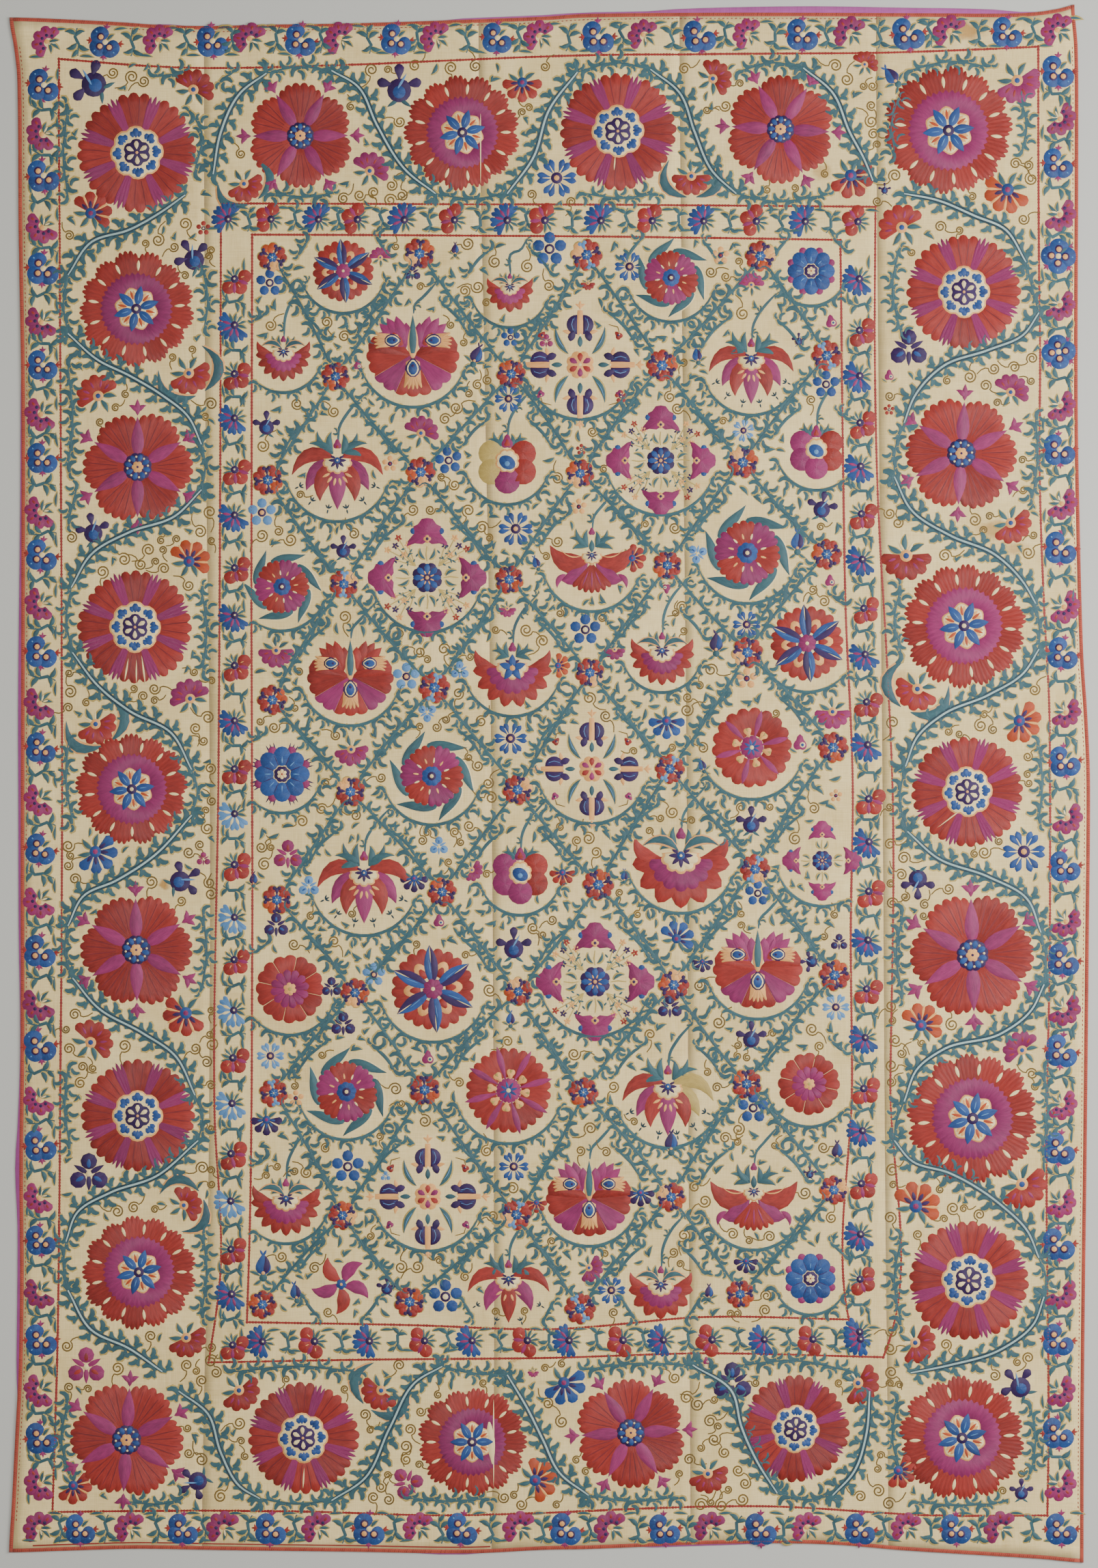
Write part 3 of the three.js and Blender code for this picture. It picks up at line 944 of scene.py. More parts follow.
# %% Round flowers
def star_rosette(x, y, r):
    """Red double lobes behind a blue six-pointed star with a rose heart."""
    place = spot(x, y, 35, r)
    lobes("red", place, turns(6, 30), 26, 0.3, 1.0, 3, 0.1, uneven=0.02)
    petals("peach", place, turns(6, 30), 0.42, 0.72, 0.3, 1, full=0.6)
    petals("red", place, turns(6, 30), 0.3, 0.58, 0.18, 1.6, full=0.6)
    for side, colour in ((-1, "plum"), (1, "blue")):
        for angle in turns(6):
            leaf(colour, place, ray(angle, 0.12), ray(angle, 1.06), 0.18, 0.09 * side, 2.4, 0.4)
    petals("pale blue", place, turns(6, 4), 0.35, 0.75, 0.03, 3.2)
    disc("rose", place, 0.25, 3.6, 8, 0.04)
    disc("cream", place, 0.06, 5)


def ring_rosette(x, y, r):
    """A plain red scalloped round with a rose ring and an ochre heart."""
    place = spot(x, y, 10, r)
    lobes("red", place, turns(8), 22.3, 0.4, 1.0, 2, 0.08, uneven=0.015)
    lobes("rose", place, turns(12), 15, 0.14, 0.58, 1, 0.14, 1, sharp=1.4)
    disc("peach", place, 0.2, 2, 6, 0.05)
    disc("ochre", place, 0.07, 3)


def spoke_rosette(x, y, r, spokes=6):
    """A red scalloped flower with rose spokes and peach hearts between them."""
    place = spot(x, y, 15, r)
    between = turns(spokes, 180 / spokes)
    lobes("red", place, between, 180 / spokes, 0.3, 1.0, 3, 0.1)
    for angle in between:
        heart_bud("peach", place, ray(angle, 0.42), 0.16, angle + 180, 2)
        heart_bud("ochre", place, ray(angle, 0.46), 0.07, angle + 180, 3)
    petals("rose", place, turns(spokes), 0.1, 0.96 if spokes == 6 else 1.06, 0.17, 1, belly=0.64)
    disc("rose", place, 0.3, 1.6, 8, 0.03)
    petals("blue", place, turns(8), 0, 0.24, 0.08, 3)
    disc("cream", place, 0.06, 4.5)


def eye_flower(x, y, r, bare=False):
    """Five round petals round a cream cup and a blue eye, with a small bud above."""
    place = spot(x, y, 0, r)
    for k, angle in enumerate((150, 30, 210, -30, -90)):
        colour = "ochre" if bare and k in (0, 2) else ("rose", "red")[k % 2]
        disc(colour, place, 0.43, 0.2 * k, centre=ray(angle, 0.6))
    disc("peach", place, 0.42, 1, 8, 0.05, centre=(0, 0.05))
    disc("cream", place, 0.36, 2, 8, 0.05, centre=(0, 0.05))
    blob("blue", place, (0, 0), np.array([0.24, 0.24, 0.3] * 2), 30, 3)
    disc("pale blue", place, 0.1, 4, centre=(0, -0.04))
    heart_bud("rose", place, (0, 0.62), 0.3, layer=2)
    heart_bud("red", place, (0, 0.6), 0.17, layer=3)
    palms(place, 0.12, 0.5, 48, 0.62)


def winged_flower(x, y, r):
    """Rose and red petals inside a whirl of teal sickle wings, whose tips curl outward."""
    place = spot(x, y, hand.uniform(0, 60), r)
    share = np.linspace(0, 1, 11)
    inner = 0.76 + 0.48 * share ** 7
    outer = 0.76 + 0.33 * share ** 0.4 + 0.15 * share ** 6
    for angle in turns(6):
        for colour, past, layer in (("cream", 0.025, -1.4), ("teal", 0, 0)):
            band(colour, place(polar(angle - 66 * share, inner - past)),
                 place(polar(angle + 40 * past - 66 * share, outer + past)),
                 BASE + STEP * layer, grain="along", tips=True)
    lobes("rose/red", place, turns(6, 8), 31, 0.1, 0.86, 4, 0.09, 1, fall=0.06, uneven=0.02)
    petals("peach/cream", place, turns(12, 8), 0.32, 0.54, 0.07, 2)
    disc("blue", place, 0.28, 2.6, 8, 0.03)
    disc("plum", place, 0.13, 3.6)
    disc("cream", place, 0.065, 4.6)


def knob_rosette(x, y, r, rays=False):
    """A blue flower of eight lobes with rose knobs at its rim."""
    place = spot(x, y, 0, r)
    if rays:
        for side in (-7, 0, 7):
            petals("plum", place, turns(8, 22.5 + side), 0.9, 1.22, 0.06)
    discs("rose", place, turns(8, 22.5), 0.92, 0.17)
    for angle in turns(8):
        blob("blue", place, ray(angle, 0.6), [0.42, 0.36, 0.3, 0.3, 0.3, 0.36], angle, 1)
    petals("plum", place, turns(8, 22.5), 0.3, 0.8, 0.06, 2)
    petals("pale blue", place, turns(8), 0.36, 0.7, 0.07, 2)
    disc("plum", place, 0.3, 2.4, 8, 0.03)
    disc("cream", place, 0.2, 3, 6, 0.06)
    petals("peach", place, turns(6), 0, 0.18, 0.07, 4)
    disc("red", place, 0.05, 5)


def pinwheel(x, y, r):
    """A whirling flower of pointed red and rose petals."""
    place = spot(x, y, 20, r)
    petals("ochre", place, turns(5, 43), 0.2, 0.8, 0.2, -0.4, belly=0.6)
    for k, angle in enumerate(turns(5)):
        leaf(("rose", "red")[k % 2], place, ray(angle, 0.14), ray(angle + 24, 1.12), 0.5, 0.22,
             0.1 * k)
    disc("blue", place, 0.2, 1, 5, 0.04)
    disc("peach", place, 0.07, 2)


# %% Lotus, carnation and palmette
def calyx(place, y, size, layer):
    """The cream cup with a small dark-blue flower, which sits in the neck of a big flower."""
    cup = spot(0, y, 0, size, inside=place)
    rim = np.vstack((scallops(1.0, 5, 0.14, 180, 360) * (1, 0.9),
                     [(0.9, 0.12), (0, 0.2), (-0.9, 0.12)]))
    patch("peach", cup(rim * 1.14), cup((0, -0.3)), BASE + STEP * layer)
    patch("cream", cup(rim), cup((0, -0.3)), BASE + STEP * (layer + 1))
    petals("plum", cup, (180, 225, 270, 315, 360), 0, 0.7, 0.3, layer + 2, full=0.7)
    sides("plum", cup, (0.1, 0.1), (0.5, 0.35), 0.2, 0, layer + 2)
    disc("blue", cup, 0.24, layer + 3)
    disc("cream", cup, 0.1, layer + 4)


def lotus(x, y, width, petal_count=7, bare=False):
    """Long flame-like petals fanned down from a cup, between two teal hands."""
    place = spot(x, y, 0, width / 143)
    fan = {7: (-14, -40, -65, -90, -115, -140, -166), 5: (-14, -52, -90, -128, -166)}[petal_count]
    half = len(fan) // 2
    for k in sorted(range(len(fan)), key=lambda k: -abs(k - half)):
        angle, outer = fan[k], abs(k - half) == half
        bend = 0.15 * np.sign(half - k) * (2.0 if outer else 1)
        colour = "ochre" if bare and k < 2 else ("red", "rose")[k % 2]
        reach = 73 if outer else 70 if k == half else 63
        leaf(colour, place, (0, 12), ray(angle, reach) + (0, 8), 23 if outer else 27, bend,
             0.3 * (half - abs(k - half)), 0.44)
    for a, b in zip(fan, fan[1:]):
        middle = (a + b) / 2
        petals("peach", place, (middle,), 12, 27, 5, 2.4)
        tick(place, *(ray(middle, 66) + (0, 4)), middle + 180)
    palms(place, 6, 24, 52, 44)
    calyx(place, 14, 21, 2)
    heart_bud("rose", place, (0, 37), 10)
    disc("red", place, 3, 1, centre=(0, 35))


def winged_lotus(x, y, width):
    """Outstretched red wings over rose drops and a feathered tail."""
    place = spot(x, y, 0, width / 132)
    sides("red", place, (2, 6), (66, 28), 32, -0.26, 0, belly=0.42)
    sides("peach", place, (12, 12), (50, 22), 3, -0.2, 1)
    sides("rose", place, (5, 4), (48, -28), 25, -0.16, 0.6, belly=0.62)
    sides("rose", place, (40, -18), (54, -40), 9, 0.2, 0.7)
    sector("red", place, 4, scallops(48, 7, 6, 226, 314, sharp=0.8), 1)
    petals("rose", place, (-112, -90, -68), 12, 42, 3.4, 2)
    palms(place, 5, 24, 50, 36)
    calyx(place, 12, 15, 2)
    leaf("teal", place, (0, 16), (0, 36), 9, 0, 4)
    heart_bud("rose", place, (0, 47), 8)


def eye_piece(place, x, y, angle, size=1.0):
    """A peach fringed wedge with a blue drop in it, outlined dark."""
    eye = spot(x, y, angle, size, inside=place)
    fringe = scallops(22, 5, 5, -30, 30, sharp=0.9) - (2, 0)
    wedge = np.vstack((fringe, [(-8, 7), (-12, 0), (-8, -7)]))
    patch("peach", eye(wedge), eye((2, 0)), BASE + 2.4 * STEP)
    leaf("plum", eye, (-12, 0), (8, 0), 16, 0, 3.4, 0.55, 0.6)
    leaf("cream", eye, (-10.5, 0), (6.6, 0), 12.6, 0, 4.2, 0.55, 0.6)
    leaf("blue", eye, (-9, 0), (5.5, 0), 10, 0, 5, 0.55, 0.6)
    disc("plum", eye, 2, 6, centre=(-4, 0))


def three_eyed_carnation(x, y, width, crest="rose"):
    """A round mass with two toothed crests and three eyes."""
    place = spot(x, y, 0, width / 143)
    body = scallops(70, 11, 5, 175, 365, per=5) * (1.0, 0.92)
    for colour, start, end in (("red", 0, 12), ("rose", 11, 22), ("red", 21, 36), ("rose", 35, 46),
                               ("red", 45, len(body))):
        sector(colour, place, 5, body[start:end], 0.3 * (colour == "rose"))
    for side in (-1, 1):
        flank = np.array([(0, -4), (66, 2), (67, 14), (60, 25), (46, 28), (28, 24), (12, 10)])
        patch("red", place(flank * (side, 1)), place((side * 38, 10)), BASE + 0.02)
    for angle, length in ((30, 63), (42, 68), (54, 67), (66, 62), (78, 48)):
        sides(crest, place, (10, 8), ray(angle, length), 17, 0, 1, belly=0.6)
    sides("red", place, (14, 10), (32, 34), 12, 0, 1.6)
    eye_piece(place, 33, 20, 0, 1.3)
    eye_piece(place, -33, 20, 180, 1.3)
    eye_piece(place, 0, -24, -90, 1.5)
    leaf("peach", place, (0, -10), (0, 50), 17, 0, 2)
    leaf("teal", place, (0, -6), (0, 58), 12, 0, 3, 0.4)


def fan_palmette(x, y, width, teeth=9, collar=True, star=False):
    """A half moon with pointed teeth, red outside and rose within."""
    place = spot(x, y, 0, width / 100)
    lobes("red", place, (-90,), 98, 4, 51, teeth, 0.2, sharp=1.2)
    lobes("rose", place, (-90,), 92, 3, 34, teeth, 0.12, 1)
    sides("red", place, (20, 2), (48, 24), 15, -0.25)
    if collar:
        sides("peach", place, (2, 7), (41, 14), 12, 0.25, 1.5)
        sides("teal", place, (2, 8), (40, 14), 9, 0.25, 2.2)
    calyx(place, 4, 19, 2.6)
    if star:
        petals("blue", place, turns(5, 90), 0, 18, 9, 7)
        disc("peach", place, 4, 8)
    palms(place, 4, 14, 56, 26)
    heart_bud("rose", place, (0, 25), 8, layer=1)


# %% Crosses of vases and of tulips
def vase_cross(x, y, arm):
    """Four dark vases round a small rosette, with bent teal leaves between them."""
    place = spot(x, y, 0, arm / 90)
    disc("peach", place, 22, -0.3, 8, 3)
    petals("rose/red", place, turns(6, 30), 4, 19, 10, 1, belly=0.6, full=0.7)
    disc("cream", place, 3, 2)
    for k in range(4):
        there = spot(0, 0, 90 * k - 90, inside=place)
        for side in (-1, 1):
            dome = polar(np.linspace(0, 180, 11), 16) * (0.95, 1)
            half = np.vstack((dome, [(-14, -1), (14, -1)]))[:, ::-1] * (side, 1) + (5 * side, 62)
            patch("plum", there(half), there((9 * side, 62)), BASE, grain=90 * k)
            line("blue", there, [(8 * side, 51), (10 * side, 62), (8 * side, 73)], 4.6)
            line("pale blue", there, [(10.5 * side, 53), (13 * side, 62), (10.5 * side, 71)], 1.6, 1)
        sides("plum", there, (6, 54), (15, 36), 12, 0.1, 0.2, belly=0.6, full=0.7)
        disc("cream", there, 2.4, 1, centre=(0, 46))
        sides("peach", there, (14, 47), (28, 52), 6.5, 0.1)
        leaf("teal", there, (0, 27), (0, 45), 8, 0, 1, full=0.8)
        band("peach", there([(-5, 46), (-5, 66), (-4, 84)]), there([(5, 46), (5, 66), (4, 84)]),
             BASE + 0.2, grain="along")
        fleur("peach", there, (0, 90), 90, 13)
    for side in (-1, 1):
        for up in (-1, 1):
            haloed_leaf(place, (17 * side, 16 * up), (38 * side, 60 * up), 8.5, -0.12 * side * up)
            leaf("pale blue", place, (22 * side, 24 * up), (36 * side, 54 * up), 2.2,
                 -0.12 * side * up, 1)
            bud = spot(60 * side, 44 * up, 40 * side, inside=place)
            heart_bud(("rose", "red")[up > 0], bud, (0, 0), 9, 90 * up, 0.2)
            disc("plum", bud, 2.6, 1.2, centre=(0, 2 * up))
            disc("cream", bud, 1.4, 2.2, centre=(2, 2 * up))
            line("tendril", place, [(44 * side, 62 * up), (58 * side, 58 * up),
                                    (60 * side, 50 * up)], 1.8)


def tulip(place):
    """A rose bell seen from the side: a lobed dome outward (+X), pointed corners inward."""
    half = [(20, 0), (19, 7), (12, 12), (9, 18), (0, 17), (-10, 25), (-17, 27), (-13, 16), (-14, 6),
            (-10, 0)]
    outline = np.array(half + [(x, -y) for x, y in half[-2:0:-1]])
    patch("rose", place(outline), place((0, 0)))
    discs("blue", place, (80, -80), 18, 4.5, -0.4)
    disc("peach", place, 5.5, 1, 4, 1.5, 45, centre=(-7, 0))
    disc("plum", place, 2.6, 2, centre=(-7, 0))


def tulip_cross(x, y, arm, sprays=True):
    """Four rose bells round a blue rosette, with ochre sprays of tiny stars between them."""
    place = spot(x, y, 0, arm / 88)
    disc("plum", place, 23, -0.2, 8, 3.5)
    petals("blue", place, turns(8), 4, 21, 10, 0.7, belly=0.6, full=0.7)
    petals("peach", place, turns(8, 22.5), 4, 12, 3, 2)
    disc("peach", place, 3.2, 2.4)
    for k in range(4):
        there = spot(0, 0, 90 * k, inside=place)
        tulip(spot(65, 0, 0, 1.14, inside=there))
        line("ochre", there, [(24, 0), (34, 1.5), (46, 0)], 2)
        for side in (-1, 1):
            haloed_leaf(there, (27, 2 * side), (44, 10 * side), 5, 0.2 * side)
        if not sprays:
            continue
        for angle, reach, kind in ((45, 66, "plum"), (30, 56, "peach"), (61, 54, "plum"),
                                   (45, 48, "peach"), (36, 72, "red"), (55, 71, "peach")):
            tip = ray(angle, reach)
            line("ochre", there, [ray(45, 24), ray((45 + angle) / 2, reach * 0.6), tip], 1.5, 0, 0)
            petals(kind, spot(*tip, inside=there), turns(5, angle), 0, 6.2, 3.8)
            for share, turn in ((0.74, 70), (0.62, -70)):
                leaf("teal", there, tip * share, tip * share + ray(angle + turn, 8), 3.4)

# %% Where the field's flowers are
FIELD_FLOWERS = [
    (star_rosette, -312, 786, 47), (fan_palmette, -56, 759, 72, 7), (winged_flower, 192, 776, 50),
    (knob_rosette, 407, 786, 36), (fan_palmette, -404, 659, 84, 9),
    (three_eyed_carnation, -205, 659, 147), (vase_cross, 52, 642, 90), (lotus, 315, 639, 133),
    (lotus, -321, 481, 143), (eye_flower, -60, 492, 47, True), (tulip_cross, 176, 495, 85),
    (eye_flower, 415, 510, 43), (winged_flower, -406, 301, 50), (tulip_cross, -183, 315, 92),
    (winged_lotus, 70, 338, 130), (winged_flower, 309, 353, 60),
    (three_eyed_carnation, -301, 164, 137, "red"), (fan_palmette, -52, 176, 120, 8, False, True),
    (fan_palmette, 178, 199, 98, 9), (star_rosette, 401, 214, 57),
    (knob_rosette, -406, 13, 42, True), (winged_flower, -176, 10, 57), (vase_cross, 70, 21, 84),
    (spoke_rosette, 316, 54, 62, 6), (lotus, -280, -153, 147), (eye_flower, -40, -141, 45),
    (fan_palmette, 207, -118, 148, 7), (tulip_cross, 424, -120, 62, False),
    (ring_rosette, -394, -317, 53), (star_rosette, -174, -317, 64), (tulip_cross, 75, -306, 92),
    (three_eyed_carnation, 325, -284, 142), (winged_flower, -307, -475, 56),
    (spoke_rosette, -58, -473, 66, 8), (lotus, 187, -481, 143, 7, True),
    (ring_rosette, 404, -463, 48), (fan_palmette, -400, -643, 106, 9), (vase_cross, -182, -636, 87),
    (three_eyed_carnation, 66, -636, 137), (winged_lotus, 319, -640, 135),
    (pinwheel, -315, -771, 42), (lotus, -58, -775, 128, 5), (fan_palmette, 176, -775, 98, 7),
    (knob_rosette, 406, -762, 38),
]
for draw, x, y, *sizes in FIELD_FLOWERS:
    draw(x, y, *sizes)
print("field flowers:", len(FIELD_FLOWERS))

# %% [markdown]
# ## Small flowers
# Between the big forms stand small ones of many kinds: florets, half-open carnations, irises,
# cornflowers and buds with bird-like wings. They are built from the same leaf and round shapes with
# the size 1. Kind, place, size and turn of each were read from the photo. The list is plain
# text, one entry after another: kind, x, y, size in mm and maybe turn in degrees.

# %% Small flowers
def floret(place, petal="blue", heart="cream"):
    for angle in turns(5, 90):
        blob(petal, place, ray(angle, 0.3), [0.24, 0.19, 0.14, 0.14, 0.19], angle, per=2)
    disc("plum", place, 0.16, 1)
    disc(heart, place, 0.1, 2)


def cornflower(place, petal="blue"):
    for side in (-10, 10):
        petals(petal, place, turns(6, side), 0.08, 0.52, 0.17, belly=0.72)
    petals("cream", place, turns(6), 0.2, 0.4, 0.04, 1)
    disc("plum", place, 0.15, 1)
    disc("peach", place, 0.08, 2)


def half_fan(place, petal="rose", inner="red"):
    """A half-open flower seen from the side, with teal leaves on its open side (+Y)."""
    sector(petal, place, 0.13, scallops(0.54, 6, 0.08, 176, 364))
    petals(inner, place, (200, 230, 270, 310, 340), 0.2, 0.42, 0.07, 1)
    for angle in (30, 90, 150):
        haloed_leaf(place, ray(angle, 0.08), ray(angle, 0.44), 0.12, 0.1)
    petals("cream", place, (60, 120), 0.05, 0.32, 0.07)
    disc("peach", place, 0.13, 1.5, centre=(0, -0.02))
    disc("blue", place, 0.07, 2.5, centre=(0, -0.02))


def parted_fan(place, petal="blue", bars="cream", heart="plum"):
    """A half flower whose petals are parted by pale bars."""
    lobes(petal, place, (186, 228, 270, 312, 354), 18, 0.1, 0.54, 1, 0.16)
    petals(bars, place, (207, 249, 291, 333), 0.12, 0.5, 0.07, 0.5, belly=0.6)
    petals(heart, place, (186, 228, 270, 312, 354), 0.1, 0.34, 0.1, 1)
    for angle in (35, 90, 145):
        haloed_leaf(place, ray(angle, 0.08), ray(angle, 0.44), 0.12, 0.1)
    disc("blue", place, 0.14, 2)
    disc("rose", place, 0.07, 3)


def winged_half(place):
    """A half flower between two teal horns."""
    half_fan(spot(0, 0, 0, 0.86, inside=place), "red", "rose")
    sides("peach", place, (0.06, -0.48), (0.52, 0.4), 0.3, -0.36, -0.8)
    sides("teal", place, (0.08, -0.5), (0.5, 0.38), 0.23, -0.36)


def trefoil(place, petal="plum", heart="blue"):
    for angle in turns(3, 90):
        blob(petal, place, ray(angle, 0.27), [0.27, 0.23, 0.17, 0.17, 0.23], angle, per=2)
    petals(heart, place, turns(3, 90), 0.12, 0.42, 0.13, 1)
    petals(petal, place, turns(3, 30), 0, 0.46, 0.14)
    disc("cream", place, 0.08, 2)


def iris(place):
    """A round iris with three knobs on necks, read by many as a bird."""
    disc("plum", place, 0.29, centre=(0, -0.1))
    disc("blue", place, 0.16, 1, centre=(0, -0.14))
    petals("plum", place, (12, 90, 168), 0.05, 0.54, 0.25, belly=0.76, full=0.7)
    petals("pale blue", place, (60,), -0.12, 0.36, 0.07, 1.6)
    sides("teal", place, (0, -0.3), (0.3, -0.5), 0.1)


def pot_bud(place, body="blue", shade="plum"):
    """A pomegranate bud with a forked tip over teal sepals."""
    leaf(body, place, (0, -0.24), (0, 0.42), 0.46, 0, 0, 0.36)
    leaf(shade, place, (0.02, -0.2), (0.02, 0.38), 0.2, -0.16, 1, 0.36)
    sides(body, place, (0, 0.34), (0.1, 0.52), 0.08)
    disc("teal", place, 0.12, 0.5, centre=(0, -0.3))
    for side in (-1, 1):
        haloed_leaf(place, (0.08 * side, -0.26), (0.44 * side, -0.12), 0.1, 0.1 * side)
        haloed_leaf(place, (0.05 * side, -0.34), (0.3 * side, -0.5), 0.1, -0.1 * side)
    disc("peach", place, 0.06, 2, centre=(0, -0.16))


def rose_bud(place):
    """A heart-shaped bud with a curled eye and two leaves."""
    heart_bud("rose", place, (0, 0), 0.42)
    disc("cream", place, 0.13, 1, centre=(0.1, 0))
    disc("blue", place, 0.08, 2, centre=(0.1, 0))
    for side in (-1, 1):
        haloed_leaf(place, (0.1 * side, -0.3), (0.46 * side, -0.06), 0.1, -0.1 * side)


SMALL = {
    "blue": (floret,), "pale": (floret, "pale blue", "peach"), "peach": (floret, "peach", "red"),
    "reds": (floret, "red"), "corn": (cornflower,), "palecorn": (cornflower, "pale blue"),
    "fan": (half_fan,), "redfan": (half_fan, "red", "rose"), "bluefan": (parted_fan,),
    "plumfan": (parted_fan, "plum", "cream", "blue"), "spiky": (parted_fan, "orange", "peach"),
    "redspiky": (parted_fan, "red", "peach"), "bird": (iris,), "bluebird": (pot_bud,),
    "palebird": (trefoil, "pale blue"), "pot": (pot_bud, "plum", "blue"), "rosepot": (rose_bud,),
    "tref": (trefoil,), "rosetref": (trefoil, "rose", "red"), "wing": (winged_half,),
}
FIELD_SMALL = """
blue -425 768 34, fan -255 806 27 180, tref -206 783 22, pot -140 818 22, rosepot -290 640 20,
pot -108 655 36 -20, blue -55 684 24, corn -58 590 36, rosetref 0 678 18, bird -430 550 34,
fan -193 536 44 160, blue -150 495 34 10, peach -240 490 20, pale -437 415 35, bird -312 360 32,
corn -47 390 44, bluebird -15 336 24 20, fan -415 204 44, pale -215 163 34, palebird -133 172 24,
fan -300 52 42 10, palebird -183 108 24 180, corn -55 68 42, blue 5 820 42, corn 128 793 38,
redfan 64 768 18, peach 268 810 22, fan 315 764 32 180, rosepot 438 706 26 10,
bluebird 232 655 28 10, blue 430 612 34, palecorn 303 541 29 20, bird 388 680 18,
bird 424 424 38 -10, bluebird 386 368 38, palebird 232 352 25 170, redspiky 132 345 34 90,
rosepot 436 308 24, corn 308 243 36, pot 261 212 38, blue 60 235 38, fan 105 205 26,
fan 440 110 44, bluefan 185 95 44, rosepot 390 58 32, bluebird 240 25 24 20, spiky 18 180 30 90,
peach 308 160 26, rosetref -397 -112 38, pot -450 -150 24, palebird -365 -160 27,
tref -415 -220 32, plumfan -203 -147 34, fan -115 -134 28 60, palebird -165 -98 24,
rosepot -165 -215 26, bird -50 -250 44, tref -330 -315 26, pale -265 -295 29, tref -312 -372 32,
rosepot -182 -425 28, bluebird -55 -365 26, palecorn -424 -420 35, plumfan -430 -518 38,
peach -385 -485 20, blue -305 -590 40, palebird -247 -605 13, corn -50 -590 38,
redspiky -15 -645 26, bluebird -435 -745 44, bluebird -385 -785 32 10, blue -155 -790 42,
bird -245 -775 26, bluefan 200 -240 44 150, bird 315 -60 38, blue 325 -170 32,
redspiky 25 -138 32, bluebird 120 -145 22, plumfan 240 -275 26, tref 450 -246 22,
bird 405 -275 26 90, palecorn 445 -345 35, tref 190 -345 32, bird 315 -390 38, blue 318 -500 38,
pot 192 -555 38, pot 447 -568 32, plumfan 145 -630 34, bird 405 -600 18, plumfan 307 -735 30,
fan 65 -745 36 60, corn 100 -780 36, pot 250 -785 26, peach 50 424 20, reds 54 512 14,
rosepot 185 300 20 180, reds 115 593 16, peach 445 -20 16, fan -60 268 22
"""
BORDER_SMALL = """
bird -701 1076 56 60, redfan -543 1064 52 150, redspiky -700 875 52 140, bird -544 808 46 30,
wing -550 630 62 30, redfan -688 593 54 210, bird -697 388 42 10, spiky -549 340 52 150,
fan -547 128 50 200, wing -693 91 60 30, fan -272 939 48 150, wing -465 921 54 30,
bird -226 1070 54, redspiky -37 1076 48, corn 16 929 50, wing 223 933 56, redfan 255 1081 48 120,
redfan 489 1103 34 150, bluebird 532 1084 38 40, fan 723 1080 58 30, redspiky 468 933 56 30,
spiky 709 911 58 -30, redfan 547 852 58 -150, tref 557 666 48, fan 713 599 46 150,
rosepot 527 624 22, reds 527 573 14, redfan 713 400 52 40, redfan 553 350 62, wing 571 145 64 -30,
spiky 727 95 54 60, bluefan -693 -106 54 45, bird -558 -149 46 -60, redfan -701 -400 56 135,
redspiky -554 -354 56 -40, tref -703 -601 50, wing -558 -650 54 120, rosetref -707 -898 48,
redfan -554 -852 50 30, redspiky -727 -1080 46 40, bird -540 -1076 42 120, redfan -473 -933 52 40,
wing -253 -933 58 -40, rosetref -214 -1076 40 40, spiky -17 -1072 54 100, corn 734 -106 54,
bird 571 -153 42 180, spiky 576 -373 54 150, fan 732 -412 48 220, redfan 730 -616 62 40,
spiky 568 -651 60 150, redfan 566 -860 52 60, bird 725 -925 46 40, bluefan 27 -922 54 30,
tref 286 -922 50, redfan 478 -922 54 60, redfan 248 -1061 50 20, redspiky 541 -1057 44 60,
bird 730 -1088 30, reds -527 852 18, rosetref -527 -118 18, rosepot 246 -890 16, fan -20 -905 14,
bird 520 912 16
"""
SMALL_SIZE = 1.2                   # the outlines round the flowers are counted in the sizes


def entries(text):
    """The entries of a list that is written as text, parted by commas."""
    return [entry.split() for entry in text.replace("\n", " ").split(",")]


small_flowers = entries(FIELD_SMALL) + entries(BORDER_SMALL)
for kind, *numbers in small_flowers:
    x, y, size, turn = map(float, (*numbers, 0)[:4])
    draw, *dyes = SMALL[kind]
    draw(spot(x, y, turn, size * SMALL_SIZE), *dyes)
print("small flowers:", len(small_flowers))

# %% [markdown]
# ## The two narrow borders
# The outer border alternates a half-open rose carnation with a blue cloud of three lobes, and the
# inner one a red half flower with a blue one. Their spacing is only roughly even, as it is on the
# cloth. Each entry is a kind and a place along the side.

# %% Narrow border flowers
def border_carnation(x, y, opening):
    """A rose half-moon that opens towards an angle, with stamens and leaflets on that side."""
    place = spot(x, y, opening - 90, hand.uniform(1.14, 1.26))
    sector("rose", place, 6, scallops(23, 5, 4, 165, 375, per=5))
    petals("red", place, (187, 228, 270, 312, 353), 12, 20, 4, 1)
    discs("plum", place, (187, 228, 270, 312, 353), 10, 2.6, 1.5)
    petals("cream", place, (60, 120), 0, 11, 3.4)
    for angle, reach in ((90, 18), (45, 15), (135, 15)):
        haloed_leaf(place, (0, 0), ray(angle, reach), 4.6, 0.1)
    disc("peach", place, 3.4, 1, centre=(0, -3))


